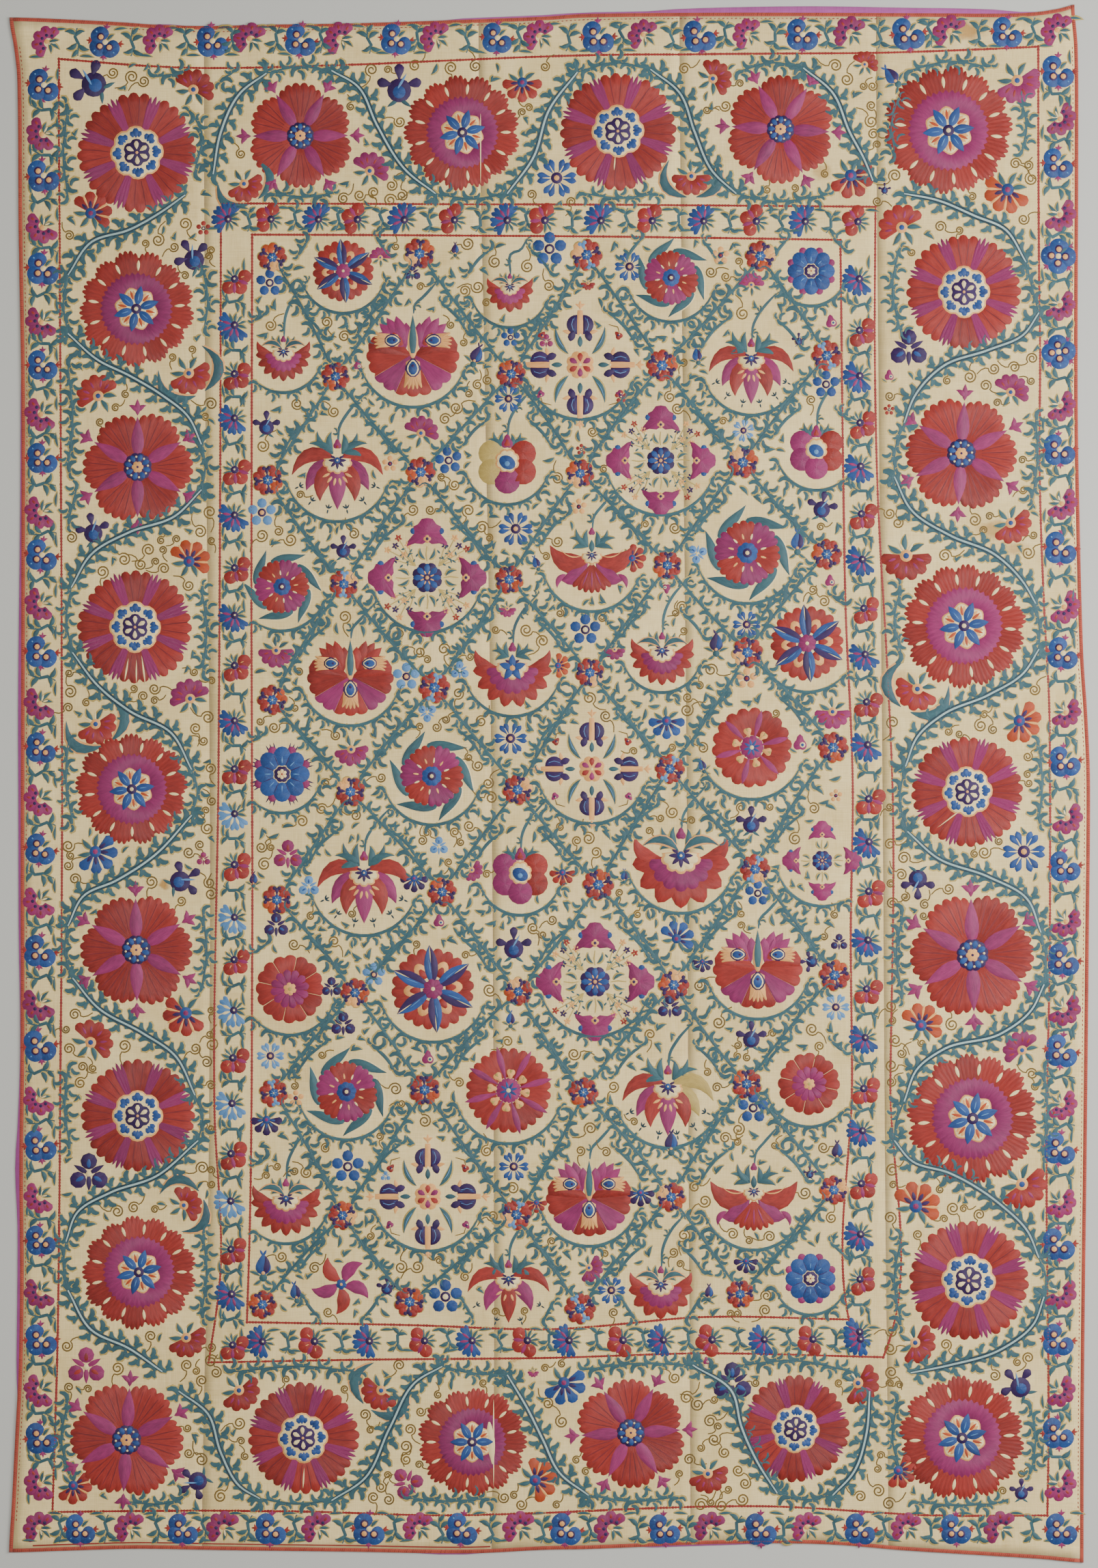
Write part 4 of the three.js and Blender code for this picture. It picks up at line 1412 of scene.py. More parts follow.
def border_cloud(x, y, opening, lobe_count=3):
    """A blue flower of ring-shaped lobes with rose fleurs outside."""
    place = spot(x, y, opening - 45, hand.uniform(1.1, 1.2))
    for angle in (135, 225, 315) if lobe_count == 3 else (0, 90, 180, 270):
        blob("blue", place, ray(angle, 11.5), [12, 13, 13, 8.5, 13, 13], angle)
        disc("plum", place, 6, 1, centre=ray(angle, 9.5))
        disc("peach", place, 4, 2, centre=ray(angle, 9))
        petals("pale blue", place, (angle,), 16, 21, 3, 1)
    for angle in (0, 90, 180, 270) if lobe_count == 3 else (45, 135, 225, 315):
        fleur("rose" if angle % 180 else "red", place, ray(angle, 20), angle, 9)
    disc("cream", place, 4, 1)
    haloed_leaf(place, ray(45, 3), ray(45, 17), 4.6, 0.1, 1)


def half_flower(x, y, opening, petal, bars):
    """A half flower of the inner border: lobes on one side, leaves and stamens on the other."""
    place = spot(x, y, opening - 90, hand.uniform(1.12, 1.2))
    if petal == "red":
        for angle in (200, 270, 340):
            blob(petal, place, ray(angle, 12), [11, 10, 8, 7, 8, 10], angle)
            petals("peach", place, (angle,), 7, 15, 2.4, 1)
        petals(bars, place, (235, 305), 2, 20, 6, 1, belly=0.6)
    else:
        lobes(petal, place, (188, 229, 270, 311, 352), 19, 3, 23, 2, 0.14, sharp=1.2)
        petals(bars, place, (208, 250, 291, 332), 2, 17, 4.6, 1, belly=0.6)
    for angle in (28, 60, 92, 124, 156):
        haloed_leaf(place, ray(angle, 2), ray(angle, 17), 4.4, 0.08)
    petals("cream", place, (76, 108), 2, 16, 1.8, 1)
    disc("plum", place, 5.4, 2)
    disc("cream", place, 2, 3, centre=(0, 0.5))


OUTER = {          # side: angle that the flowers open to, then kind and place along it
    "top": (-45, "P -765, B -678, P -594, B -513, P -454, B -377, P -315, B -230, P -168, B -75,"
                 "P -9, B 80, P 151, B 236, P 312, B 394, P 468, B 557, P 622, B 709, P 788"),
    "left": (40, "B 1072, P 998, B 933, P 856, B 790, P 710, B 642, P 568, B 499, P 417, B 350,"
                  "P 276, B 201, P 124, B 54, P -25, B -102, P -181, B -259, P -338, B -404,"
                  "P -485, B -557, P -636, B -703, P -782, B -856, P -933, B -1007, P -1076"),
    "bottom": (-45, "P -778, B -716, P -638, B -558, P -495, B -423, P -350, B -272, P -195, B -129,"
                    "P -40, B 31, P 101, B 182, P 253, B 330, P 402, B 483, P 555, B 630, P 700,"
                    "B 792"),
    "right": (135, "B 1093, P 1022, B 952, P 875, 4 809, P 736, 4 662, P 581, B 512, P 431,"
                   "B 361, P 272, B 199, P 110, B 33, P -52, B -128, P -211, B -272, P -346,"
                   "B -412, P -493, B -562, P -643, B -709, P -782, B -856, P -933, B -999,"
                   "P -1076"),
}
INNER = {
    "top": (-30, "B -489, R -423, B -350, R -290, B -218, R -141, B -60, R -2, B 84, R 163,"
                 "B 242, R 323, B 398, R 479"),
    "left": (90, "R 774, B 703, R 628, B 560, R 481, B 411, R 330, B 257, R 180, B 95, R 21,"
                 "L -48, R -126, L -207, R -272, L -350, R -423, L -493, R -570, L -643, R -717,"
                 "B -786, R -864"),
    "right": (90, "B 774, R 695, B 625, R 553, B 486, R 413, B 343, R 268, B 197, R 124, B 58,"
                   "R -25, B -91, R -167, B -242, R -317, B -392, R -470, B -535, R -616, B -694,"
                   "R -763, B -844"),
    "bottom": (20, "B -436, R -356, B -272, R -187, B -114, R -29, B 35, R 118, B 180, R 255,"
                   "B 335, R 410, B 483"),
}
OUTER_LINE = {     # the middle of the outer border on each side
    "top": lambda at: (at, 1137 + 0.011 * (at + 765)),
    "bottom": lambda at: (at, -1147),
    "left": lambda at: (-778 + 0.004 * abs(at + 400), at),
    "right": lambda at: (787 + 11 * math.exp(-((at + 60) / 420) ** 2), at),
}
INNER_LINE = {
    "top": lambda at: (at, 864 - 0.004 * at), "bottom": lambda at: (at, -857 + 0.004 * at),
    "left": lambda at: (-479 - 6 * math.exp(-((at + 650) / 250) ** 2), at),
    "right": lambda at: (481 + 15 * math.exp(-((at + 100) / 420) ** 2), at),
}
INNER_DYES = {"R": ("red", "rose"), "B": ("blue", "rose"), "L": ("pale blue", "cream")}
sown = []                          # every flower of the narrow borders: border, side, place
for border, lines in ((OUTER, OUTER_LINE), (INNER, INNER_LINE)):
    for side, (opening, row) in border.items():
        for kind, at in entries(row):
            x, y = lines[side](float(at))
            if kind == "P":
                border_carnation(x, y, opening + hand.uniform(-12, 12))
            elif border is OUTER:
                border_cloud(x, y, 45 + hand.uniform(-8, 8), 4 if kind == "4" else 3)
            else:
                tilt = (45 if kind == "R" else -45) * (side in ("left", "right"))
                half_flower(x, y, opening + tilt + hand.uniform(-12, 12), *INNER_DYES[kind])
            sown.append((border is INNER, side, float(at)))
print("narrow border flowers:", len(sown))

# %% [markdown]
# ## The lattice
# Forty-four small rosettes stand at the crossings of a slanting lattice. Straight teal stems join
# them, a leafy arc cradles every flower, and a bent stalk hangs the upright ones from the stem
# above. The crossings aren't evenly spaced on the cloth, so the diamonds differ a little.

# %% Nodes of the lattice
NODES = paths("""
-421 807, -195 813, 62 811, 329 809
-324 624, -54 628, 178 641, 431 656
-428 465, -193 477, 52 475, 302 492
-311 305, -57 312, 186 334, 431 351
-421 127, -172 146, 67 169, 309 200
-301 -14, -44 -11, 190 21, 441 54
-414 -180, -160 -168, 80 -157, 321 -133
-294 -323, -43 -321, 196 -311, 443 -296
-419 -477, -187 -472, 57 -476, 308 -463
-313 -665, -46 -664, 192 -637, 442 -626
-436 -802, -210 -798, 52 -808, 298 -786
""")


def lattice_node(x, y, k):
    place = spot(x, y, hand.uniform(-30, 30), hand.uniform(0.98, 1.1))
    disc("ochre", place, 24, -1.4, 8, 4)
    disc("peach", place, 20, -0.9, 8, 4)
    for arm in range(4):
        angle = 45 + 90 * arm
        worn = (k + arm) % 9 == 3
        colour = "peach" if worn else "orange" if (k + arm) % 5 == 1 else "red"
        for side in (-1, 1):
            blob(colour, place, ray(angle + 19 * side, 15.5), [7.4, 6.6, 5.2, 6.6], angle)
        leaf(colour, place, ray(angle, 4), ray(angle, 20), 10, layer=0.3, full=0.7)
        bar = "pale blue" if k % 5 == 2 and arm % 2 else "plum"
        petals(bar, place, (90 * arm,), 4, 18.5, 6.6, 1, belly=0.7, full=0.75)
        discs(bar, place, (90 * arm - 12, 90 * arm + 12), 17.5, 3.4, 1)
    disc("blue", place, 8.2, 2, 6, 2)
    petals("pale blue", place, turns(6), 0, 6.6, 2.6, 3)
    disc("cream", place, 1.8, 4)


nodes = [node for row in NODES for node in row]
for k, (x, y) in enumerate(nodes):
    lattice_node(x, y, k)
print("lattice nodes:", len(nodes))

# %% Stems of the lattice, arcs and stalks
FIELD = (-449, 449, -822, 836)     # left, right, bottom and top of the field inside its line
OVER_RIGHT = 10                    # arcs may pass the right side a little
NODE_ROOM = 25                     # a stem ends this far from the middle of a crossing
LONGEST_STEP = 175                 # crossings further apart across aren't joined
stems = []                         # leafy lines: (points, kind)


def inside_field(points):
    left, right, bottom, top = FIELD
    x, y = points.T
    return (x > left) & (x < right + OVER_RIGHT) & (y > bottom) & (y < top)


def trim(points, kept):
    """The runs of a line whose points are kept."""
    edges = np.flatnonzero(np.diff(np.concatenate(([0], kept.astype(int), [0]))))
    return [points[a:b] for a, b in zip(edges[::2], edges[1::2]) if b - a > 2]


for upper, lower in zip(NODES, NODES[1:]):
    for x0, y0 in upper:
        for x1, y1 in lower:
            reach = math.hypot(x1 - x0, y1 - y0)
            if abs(x1 - x0) < LONGEST_STEP:
                t = np.linspace(NODE_ROOM / reach, 1 - NODE_ROOM / reach, 16)[:, None]
                bow = 4 * t * (1 - t) * hand.uniform(-5, 5)
                stems.append((np.array((x0, y0)) * (1 - t) + np.array((x1, y1)) * t
                              + bow * np.array((y0 - y1, x1 - x0)) / reach, "stem"))

ARC_SHARE = {lotus: 0.56, winged_lotus: 0.58, three_eyed_carnation: 0.56, fan_palmette: 0.62}
HEADS = {lotus: 0.29, winged_lotus: 0.4, three_eyed_carnation: 0.42, fan_palmette: 0.3,
         eye_flower: 0.8}          # where the stalk starts, as a share of the size
for draw, x, y, size, *_ in FIELD_FLOWERS:
    if draw in (vase_cross, tulip_cross):
        radius = np.clip(size + 1, 70, 84)
    elif draw in ARC_SHARE:
        radius = np.clip(size * ARC_SHARE[draw], 60, 83)
    else:
        radius = min(size + 18, 82)
    for first, last, out in ((198, 342, 0), (116, 158, 6), (22, 60, 6)):
        ring = polar(np.linspace(first, last, max(8, (last - first) // 7)), radius + out) + (x, y)
        stems += [(run, "arc") for run in trim(ring, inside_field(ring))]
    if draw in HEADS:
        head = HEADS[draw] * size
        end = (38, 112) if y < 750 else (26, 76)
        stalk = smooth_path([(x + 1, y + head), (x + 3, y + head * 0.5 + 44),
                             (x + 16, y + end[1] * 0.78), (x + end[0], y + end[1])], 7)
        row_of_chain("teal", stalk, 5.4, 0.42, 0.5, 0.6)
        stems.append((stalk[2:], "stalk"))
print("field stems:", len(stems), "metres:",
      round(sum(run_length(p)[-1] for p, kind in stems) / 1000, 1))

# %% [markdown]
# ## The winding vine
# In the main border a vine winds between the big rosettes and passes beside them. Where it crosses
# the border, its stem is a pale spine with dark edges and big hooked leaves; where it passes a
# rosette it thins to a plain teal stem. The turning points were read one by one.

# %% Vine
VINE = paths("""
-735 780, -700 830, -640 850, -590 878, -555 903
-735 690, -690 650, -640 625, -590 595, -550 562, -530 520
-530 450, -570 410, -640 385, -700 350, -730 300
-728 200, -690 150, -640 110, -575 75, -545 20
-545 -50, -600 -110, -660 -150, -712 -175, -735 -220
-728 -300, -690 -345, -620 -385, -570 -420, -540 -480
-535 -550, -600 -605, -670 -630, -722 -662, -738 -705
-735 -780, -700 -840, -640 -870, -590 -905
-565 -935, -520 -970, -500 -1030, -470 -1082, -440 -1100
-330 -1103, -280 -1070, -240 -990, -200 -920, -160 -897
-60 -910, -30 -960, -5 -1010, 20 -1060, 65 -1095
225 -895, 285 -935, 300 -990, 325 -1045, 355 -1092
440 -1095, 472 -1060, 492 -1000, 497 -935
-512 935, -500 1000, -470 1060, -430 1090
-330 1094, -290 1070, -260 1010, -215 940, -170 905
-60 905, -20 960, 5 1035, 48 1092
160 1096, 205 1060, 228 1000, 255 940, 292 905
395 1098, 440 1060, 466 1000, 490 955, 502 925
550 905, 600 895, 660 870, 705 850, 737 800
757 722, 735 690, 680 665, 610 640, 565 592, 550 553
535 470, 560 420, 620 380, 690 350, 735 305, 752 275
757 205, 735 170, 680 135, 610 105, 570 70, 552 25
555 -75, 600 -115, 680 -145, 740 -180, 760 -230
765 -310, 745 -350, 700 -385, 610 -410, 570 -440, 550 -490
535 -550, 560 -580, 620 -600, 700 -650, 740 -690, 757 -730
765 -790, 750 -830, 700 -870, 620 -895, 560 -907
""")
PASSES = paths("""
-735 780, -742 735, -735 690
-530 520, -524 485, -530 450
-730 300, -738 250, -728 200
-545 20, -536 -12, -545 -50
-735 -220, -740 -260, -728 -300
-540 -480, -528 -515, -535 -550
-738 -705, -742 -740, -735 -780
-440 -1100, -385 -1108, -330 -1103
-160 -897, -110 -908, -60 -910
65 -1095, 130 -1104, 200 -1098
355 -1092, 398 -1102, 440 -1095
-430 1090, -380 1100, -330 1094
-170 905, -115 897, -60 905
48 1092, 104 1106, 160 1096
292 905, 350 893, 430 903
300 1094, 345 1106, 395 1098
737 800, 747 760, 757 722
550 553, 536 510, 535 470
752 275, 758 240, 757 205
552 25, 543 -25, 555 -75
760 -230, 768 -270, 765 -310
550 -490, 538 -520, 535 -550
757 -730, 768 -760, 765 -790
60 -902, 130 -893, 225 -895
300 -895, 380 -888, 470 -905
-480 -905, -380 -897, -290 -905
-735 640, -728 560, -735 480
-722 450, -735 400
-525 700, -520 740, -528 790
-528 170, -522 240, -530 300
-735 60, -738 0, -728 -60
-528 -200, -522 -260, -530 -320
-735 -440, -740 -500, -732 -560
-528 -690, -522 -750, -530 -820
545 690, 532 760, 542 820
752 560, 755 500, 748 440
545 200, 535 250, 545 300
757 60, 762 0, 757 -60
548 -200, 538 -265, 548 -330
765 -440, 770 -510, 762 -570
545 -700, 535 -765, 545 -830
535 970, 530 1010, 540 1050
732 970, 738 1010, 730 1050
-735 900, -742 960, -735 1040
-735 -950, -745 -1010, -735 -1060
-540 940, -530 1000, -545 1030
540 -950, 532 -1010, 545 -1060
745 -960, 752 -1010, 745 -1060
-600 1085, -560 1090
560 1095, 620 1108, 680 1100
-480 1092, -500 1080
-640 -1105, -590 -1108, -560 -1100
570 -1105, 620 -1110, 690 -1108
-420 905, -370 900, -330 905
60 905, 110 898, 170 905
-210 -1100, -150 -1104, -90 -1100
""")
STEM_WIDTH = {"stem": 4.8, "arc": 5.2, "pass": 3.8}
for points in VINE:
    path = smooth_path(points, 7)
    row_of_chain("ochre", path, 13, 0.2, 0.4, 0.4)
    row_of_chain("dark teal", path, 9, 1.0, 0.4, 0.5)
    row_of_chain("spine", path, 2.9, 1.2, 0.3, 0.3)
    stems.append((path, "vine"))
stems += [(smooth_path(points, 7), "pass") for points in PASSES]
for points, kind in stems:
    if kind in STEM_WIDTH:
        row_of_chain("ochre", points, STEM_WIDTH[kind] + 4.5, 0.2, 0.4, 0.2)
        row_of_chain("teal", points, STEM_WIDTH[kind], 0.85, 0.8, 0.8 if kind == "arc" else 0.4)
print("vine crossings:", len(VINE), "leafy stems beside the rosettes:", len(PASSES))

# %% [markdown]
# ## Leaves along the stems
# Some two thousand sprigs of three small leaves sit on both sides of the stems. That is a rule that
# follows a path, so Geometry Nodes do it: the stem is resampled at one point per leaf, a leaf is
# set on every point, left and right by turns, turned to the stem and varied a little, and realised.
# The same tree later lays chain stitches along the guard lines and whips the braid.

# %% A tree that lays stitches along a line
def stitches_tree():
    tree = bpy.data.node_groups.new("stitches along a line", "GeometryNodeTree")
    face = tree.interface
    face.new_socket("Geometry", in_out="INPUT", socket_type="NodeSocketGeometry")
    for name, kind in (("Line", "Object"), ("Right stitch", "Object"), ("Left stitch", "Object"),
                       ("Spacing", "Float"), ("Smallest", "Float"), ("Largest", "Float"),
                       ("Sway", "Float"), ("Seed", "Int"), ("Thread", "Material")):
        face.new_socket(name, in_out="INPUT", socket_type=f"NodeSocket{kind}")
    face.new_socket("Geometry", in_out="OUTPUT", socket_type="NodeSocketGeometry")
    given = add_node(tree, "NodeGroupInput").outputs

    def at_random(low, high):
        made = add_node(tree, "FunctionNodeRandomValue", {"data_type": "FLOAT"}, i2=low, i3=high,
                        Seed=given["Seed"])
        return made.outputs[1]

    line = add_node(tree, "GeometryNodeObjectInfo", Object=given["Line"]).outputs["Geometry"]
    even = add_node(tree, "GeometryNodeResampleCurve", {"mode": "LENGTH"}, Curve=line,
                    Length=given["Spacing"])
    along = add_node(tree, "GeometryNodeCurveToPoints", {"mode": "EVALUATED"}, Curve=even)
    pair = add_node(tree, "GeometryNodeJoinGeometry")
    for side in ("Right stitch", "Left stitch"):
        one = add_node(tree, "GeometryNodeObjectInfo", Object=given[side], As_Instance=True)
        tree.links.new(one.outputs["Geometry"], pair.inputs[0])
    turn = add_node(tree, "FunctionNodeAlignRotationToVector", {"axis": "X"},
                    Vector=along.outputs["Tangent"])
    index = add_node(tree, "GeometryNodeInputIndex")
    by_turns = add_node(tree, "ShaderNodeMath", {"operation": "MODULO"}, i0=index, i1=2.0)
    placed = add_node(tree, "GeometryNodeInstanceOnPoints", Points=along, Instance=pair,
                      Pick_Instance=True, Instance_Index=by_turns, Rotation=turn,
                      Scale=at_random(given["Smallest"], given["Largest"]))
    less = add_node(tree, "ShaderNodeMath", TIMES, i0=given["Sway"], i1=-1.0)
    angles = add_node(tree, "ShaderNodeCombineXYZ", Z=at_random(less.outputs[0], given["Sway"]))
    turned = add_node(tree, "GeometryNodeRotateInstances", Instances=placed, Rotation=angles)
    dyed = add_node(tree, "GeometryNodeStoreNamedAttribute",
                    {"data_type": "FLOAT", "domain": "INSTANCE"}, Geometry=turned, Name="dye",
                    Value=at_random(0.0, 1.0))
    real = add_node(tree, "GeometryNodeRealizeInstances", Geometry=dyed)
    worn = add_node(tree, "GeometryNodeSetMaterial", Geometry=real, Material=given["Thread"])
    tree.links.new(worn.outputs[0], add_node(tree, "NodeGroupOutput").inputs[0])
    return tree


laying = stitches_tree()
socket_of = {item.name: item.identifier for item in laying.interface.items_tree
             if item.in_out == "INPUT"}


def curve_of(name, lines):
    """A curve object through several lines of table points, at the height 0."""
    data = bpy.data.curves.new(name, "CURVE")
    data.dimensions = "3D"
    for points in lines:
        spline = data.splines.new("POLY")
        spline.points.add(len(points) - 1)
        flat = to_metres(np.column_stack((points, np.zeros(len(points)))))
        spline.points.foreach_set("co", np.column_stack((flat, np.ones(len(flat)))).ravel())
    return add_object(name, data)


def lay_stitches(name, lines, right, left, spacing, scale, sway, seed, thread):
    """Runs the tree once, and returns its result as a plain mesh with its heights still flat."""
    host = add_object(name, bpy.data.meshes.new(name))
    curve = curve_of(name + "_line", lines)
    modifier = host.modifiers.new("stitches", "NODES")
    modifier.node_group = laying
    for key, value in (("Line", curve), ("Right stitch", right), ("Left stitch", left),
                       ("Spacing", spacing / 1000), ("Smallest", scale[0]),
                       ("Largest", scale[1]), ("Sway", math.radians(sway)), ("Seed", seed),
                       ("Thread", thread)):
        modifier[socket_of[key]] = value
    bpy.context.view_layer.update()
    evaluated = host.evaluated_get(bpy.context.evaluated_depsgraph_get())
    mesh = bpy.data.meshes.new_from_object(evaluated)
    host.modifiers.remove(modifier)
    bpy.data.objects.remove(host)
    bpy.data.objects.remove(curve)
    return mesh


def lift_mesh(mesh, height_at):
    """Lifts every point of a mesh that was made flat, by a height in mm at its place."""
    points = np.empty(len(mesh.vertices) * 3)
    mesh.vertices.foreach_get("co", points)
    points = points.reshape(-1, 3)
    x, y = points[:, 0] * 1000 + MIDDLE[0], points[:, 1] * 1000 + MIDDLE[1]
    points[:, 2] += height_at(x, y) / 1000
    mesh.vertices.foreach_set("co", points.ravel())
    mesh.update()


# %% [markdown]
# ## Silk
# Work of this kind uses silk with little twist, laid in rows and tied down. It shines a little, and
# its dye changes from one batch of thread to the next. The patterns read the patch's own UV map, in
# millimetres, so they turn with every petal. The real threads are finer than the photo can show.
# Here they are drawn 0.9 mm apart, so that the rows can just be seen close up.

# %% Silk material
THREAD = 0.9                       # distance between the rows of silk, in mm
TIE = 2.6                          # distance between the slanting ties, in mm


def silk_thread(name, light, dark):
    """Silk laid in rows and tied down: streaks and fine ridges along the rows."""
    made, tree = new_material(name)
    rows = add_node(tree, "ShaderNodeUVMap", {"uv_map": "thread"})
    long = add_node(tree, "ShaderNodeMapping", Vector=rows, Scale=(1.1, 0.09, 1))
    streak = add_node(tree, "ShaderNodeTexNoise", Vector=long, Scale=1.0, Detail=3.0,
                      Roughness=0.65)
    wide = add_node(tree, "ShaderNodeMapping", Vector=rows, Scale=(0.16, 0.05, 1))
    batch = add_node(tree, "ShaderNodeTexNoise", Vector=wide, Scale=1.0, Detail=2.0)
    ridge = add_node(tree, "ShaderNodeTexWave", {"bands_direction": "X"}, Vector=rows,
                     Scale=WAVE / THREAD, Distortion=1.2, Detail=1.0,
                     Detail_Scale=0.5).outputs["Fac"]
    slant = add_node(tree, "ShaderNodeMapping", Vector=rows, Rotation=(0, 0, 0.6))
    ties = add_node(tree, "ShaderNodeTexWave", {"bands_direction": "Y"}, Vector=slant,
                    Scale=WAVE / TIE, Distortion=2.0, Detail=1.0).outputs["Fac"]
    dye = add_node(tree, "ShaderNodeAttribute", {"attribute_name": "dye"}).outputs["Fac"]
    colour = blend_tones(tree, -0.55, [(streak, 1.3), (batch, 0.7), (dye, 0.3), (ridge, -0.2)],
                         light, dark)
    height = add_node(tree, "ShaderNodeMath", ADD_SHARE, i0=ties, i1=0.35, i2=ridge)
    finish_material(tree, colour, height, 0.6, 0.00022, Roughness=0.5, Sheen_Weight=0.08,
                    Sheen_Roughness=0.4, Specular_IOR_Level=0.3)
    return made


DYES = {           # the light and the dark batch of each dye
    "red": ("9A3028", "561412"), "rose": ("8E2A5E", "56143A"), "blue": ("264E8A", "12244E"),
    "pale blue": ("5C87B0", "3A6290"), "plum": ("34184E", "180A30"), "teal": ("365C62", "1A3640"),
    "dark teal": ("1A3844", "10242E"), "ochre": ("B09A56", "8A743A"), "peach": ("DCA262", "B27A42"),
    "orange": ("AC4620", "7A2C14"), "cream": ("E2CE9A", "BEA66E"), "spine": ("A2B6B0", "728C8A"),
    "guard": ("92241E", "5C1214"), "whip": ("8A3424", "5A1A14"), "tendril": ("70561A", "463610"),
    "wine": ("701C24", "4A1016"),
}
threads = {name: silk_thread(f"{name} silk thread", *pair) for name, pair in DYES.items()}

# %% Leaf sprigs to repeat
SPRIGS = {         # root, tip, width and bend of the fingers; the stem lies along X, outside is +Y
    "field": (((3, 2), (-12, 13), 7.2, 0.32), ((-2, 6), (3, 20), 6.0, -0.3),
              ((4, 3), (13, 8), 4.8, -0.3)),
    "vine": (((5, 5), (-15, 11), 9.0, 0.3), ((0, 8), (-6, 21), 7.4, -0.24),
             ((3, 6), (10, 14), 6.4, 0.2)),
}
HALO_HEIGHT, LEAF_EDGE, LEAF_CROWN = 0.22, 0.3, 0.72       # heights over the cotton, in mm


def repeated_shape(name, points, faces, uv):
    """A small shape round the origin, in mm, as an object that is set along a line."""
    return mesh_object(name, np.asarray(points) / 1000, faces, corner_uv=uv)


def sprig(name, fingers, side, halo):
    """One spread leaf, or the ochre outline under it."""
    points, faces, uv = [], [], []
    for root, tip, width, bend in fingers:
        root, tip = np.array(root, float), np.array(tip, float)
        over = (tip - root) / np.linalg.norm(tip - root) * HALO / 2 * halo
        root, along = root - over, tip - root + 2 * over
        t = np.linspace(0, 1, 4 if halo else 5)
        bow = (4 * bend * t * (1 - t))[:, None] * (-along[1], along[0])
        spine = root + t[:, None] * along + bow
        half = (width + HALO * halo) / 2 * np.sin(math.pi * (0.12 + 0.78 * t)) ** 0.6
        out = aside(spine) * half[:, None] * side
        edges = [(spine + out) * (1, side), (spine - out) * (1, side)]
        if halo:
            rows, heights = edges, (HALO_HEIGHT, HALO_HEIGHT)
        else:
            rows = [edges[0], spine * (1, side), edges[1]]
            heights = (LEAF_EDGE, LEAF_CROWN, LEAF_EDGE)
        start = len(points)
        points += [(*p, height) for row, height in zip(rows, heights) for p in row]
        made, corners = rows_to_faces(len(rows), len(t), False)
        faces += [[start + i for i in face] for face in made]
        run = run_length(spine)
        uv += [((r - 1) * half[i], run[i]) for face in corners for r, i in face]
    return repeated_shape(name, points, faces, uv)


# %% Leaves on every stem
LEAFING = {        # the sprig, the spacing in mm between leaves, smallest and largest size
    "stem": ("field", 17.5, (0.84, 1.06)), "arc": ("field", 27, (0.76, 0.96)),
    "stalk": ("field", 34, (0.4, 0.55)), "vine": ("vine", 13.5, (0.92, 1.1)),
    "pass": ("field", 16, (0.84, 1.1)),
}
embroidery = []


def join_embroidery(name, mesh):
    """A mesh that was laid flat becomes a piece that follows the cloth."""
    lift_mesh(mesh, cloth_height)
    embroidery.append(add_object(name, mesh))
    print(name, len(mesh.polygons), "faces")


for colour, halo in (("teal", False), ("ochre", True)):
    for seed, (kind, (form, spacing, scale)) in enumerate(LEAFING.items()):
        right, left = (sprig(f"{form}_sprig", SPRIGS[form], side, halo) for side in (-1, 1))
        lines = [points for points, sort in stems if sort == kind]
        other = right if kind == "arc" else left       # an arc only has leaves on its outer side
        name = f"{colour}_leaves_{kind}"
        join_embroidery(name, lay_stitches(name, lines, right, other, spacing, scale, 14, seed,
                                           threads[colour]))
        bpy.data.objects.remove(right)
        bpy.data.objects.remove(left)

# %% [markdown]
# ## Filling the gaps
# The cloth has few bare places. Loose leaves and fine ochre spirals fill what the big forms leave
# open. They stand by a rule here, not where the real ones are. Here a map of what is already
# covered is kept on a 4 mm grid, and a seeded hand tries places until nothing more fits.

# %% Map of what is covered
CELL = 4.0                         # side of a cell of the map, in mm
MAP_LOW = (-840, -1210)            # its lower left corner, past the corner of the cloth
covered = np.zeros((420, 606), bool)


def cells_near(x, y, radius):
    """The rows and columns of the map within a radius of some places."""
    reach = math.ceil(radius / CELL)
    dx, dy = np.mgrid[-reach:reach + 1, -reach:reach + 1]
    near = dx * dx + dy * dy <= (radius / CELL) ** 2 + 0.5
    i = ((np.atleast_1d(x) - MAP_LOW[0]) // CELL).astype(int)[:, None] + dx[near]
    j = ((np.atleast_1d(y) - MAP_LOW[1]) // CELL).astype(int)[:, None] + dy[near]
    return np.clip(i, 0, covered.shape[0] - 1), np.clip(j, 0, covered.shape[1] - 1)


for box in silk.values():      # five by three places on every quad and triangle that is sewn
    points = np.vstack(box["points"])[:, :2]
    corner = np.array([face if len(face) == 4 else (*face, face[2]) for face in box["faces"]])
    a, b, c, d = (points[corner[:, k]] for k in range(4))
    for u in (0, 0.25, 0.5, 0.75, 1):
        for v in (0, 0.5, 1):
            x, y = ((a * (1 - u) + b * u) * (1 - v) + (d * (1 - u) + c * u) * v).T
            covered[cells_near(x, y, 0)] = True
LEAF_ROOM = {"vine": 18, "stalk": 5, "stem": 12, "arc": 6, "pass": 11}
for points, kind in stems:
    covered[cells_near(*points.T, LEAF_ROOM[kind])] = True
print("covered so far:", round(100 * covered.mean()), "%")


# %% Spirals and loose leaves
def spiral(x, y, turn, size, side):
    place = spot(x, y, turn, size, side < 0)
    angle = np.linspace(0, 640, 23)
    coil = polar(angle, 0.2 + 0.8 * angle / angle[-1])
    tail = coil[-1] + np.array([(0.1, -0.5), (-0.1, -1.2), (-0.7, -2.0)])
    row_of_chain("tendril", place(np.vstack((coil, tail))), 2.4, 0.5, 0.4, 0.3)


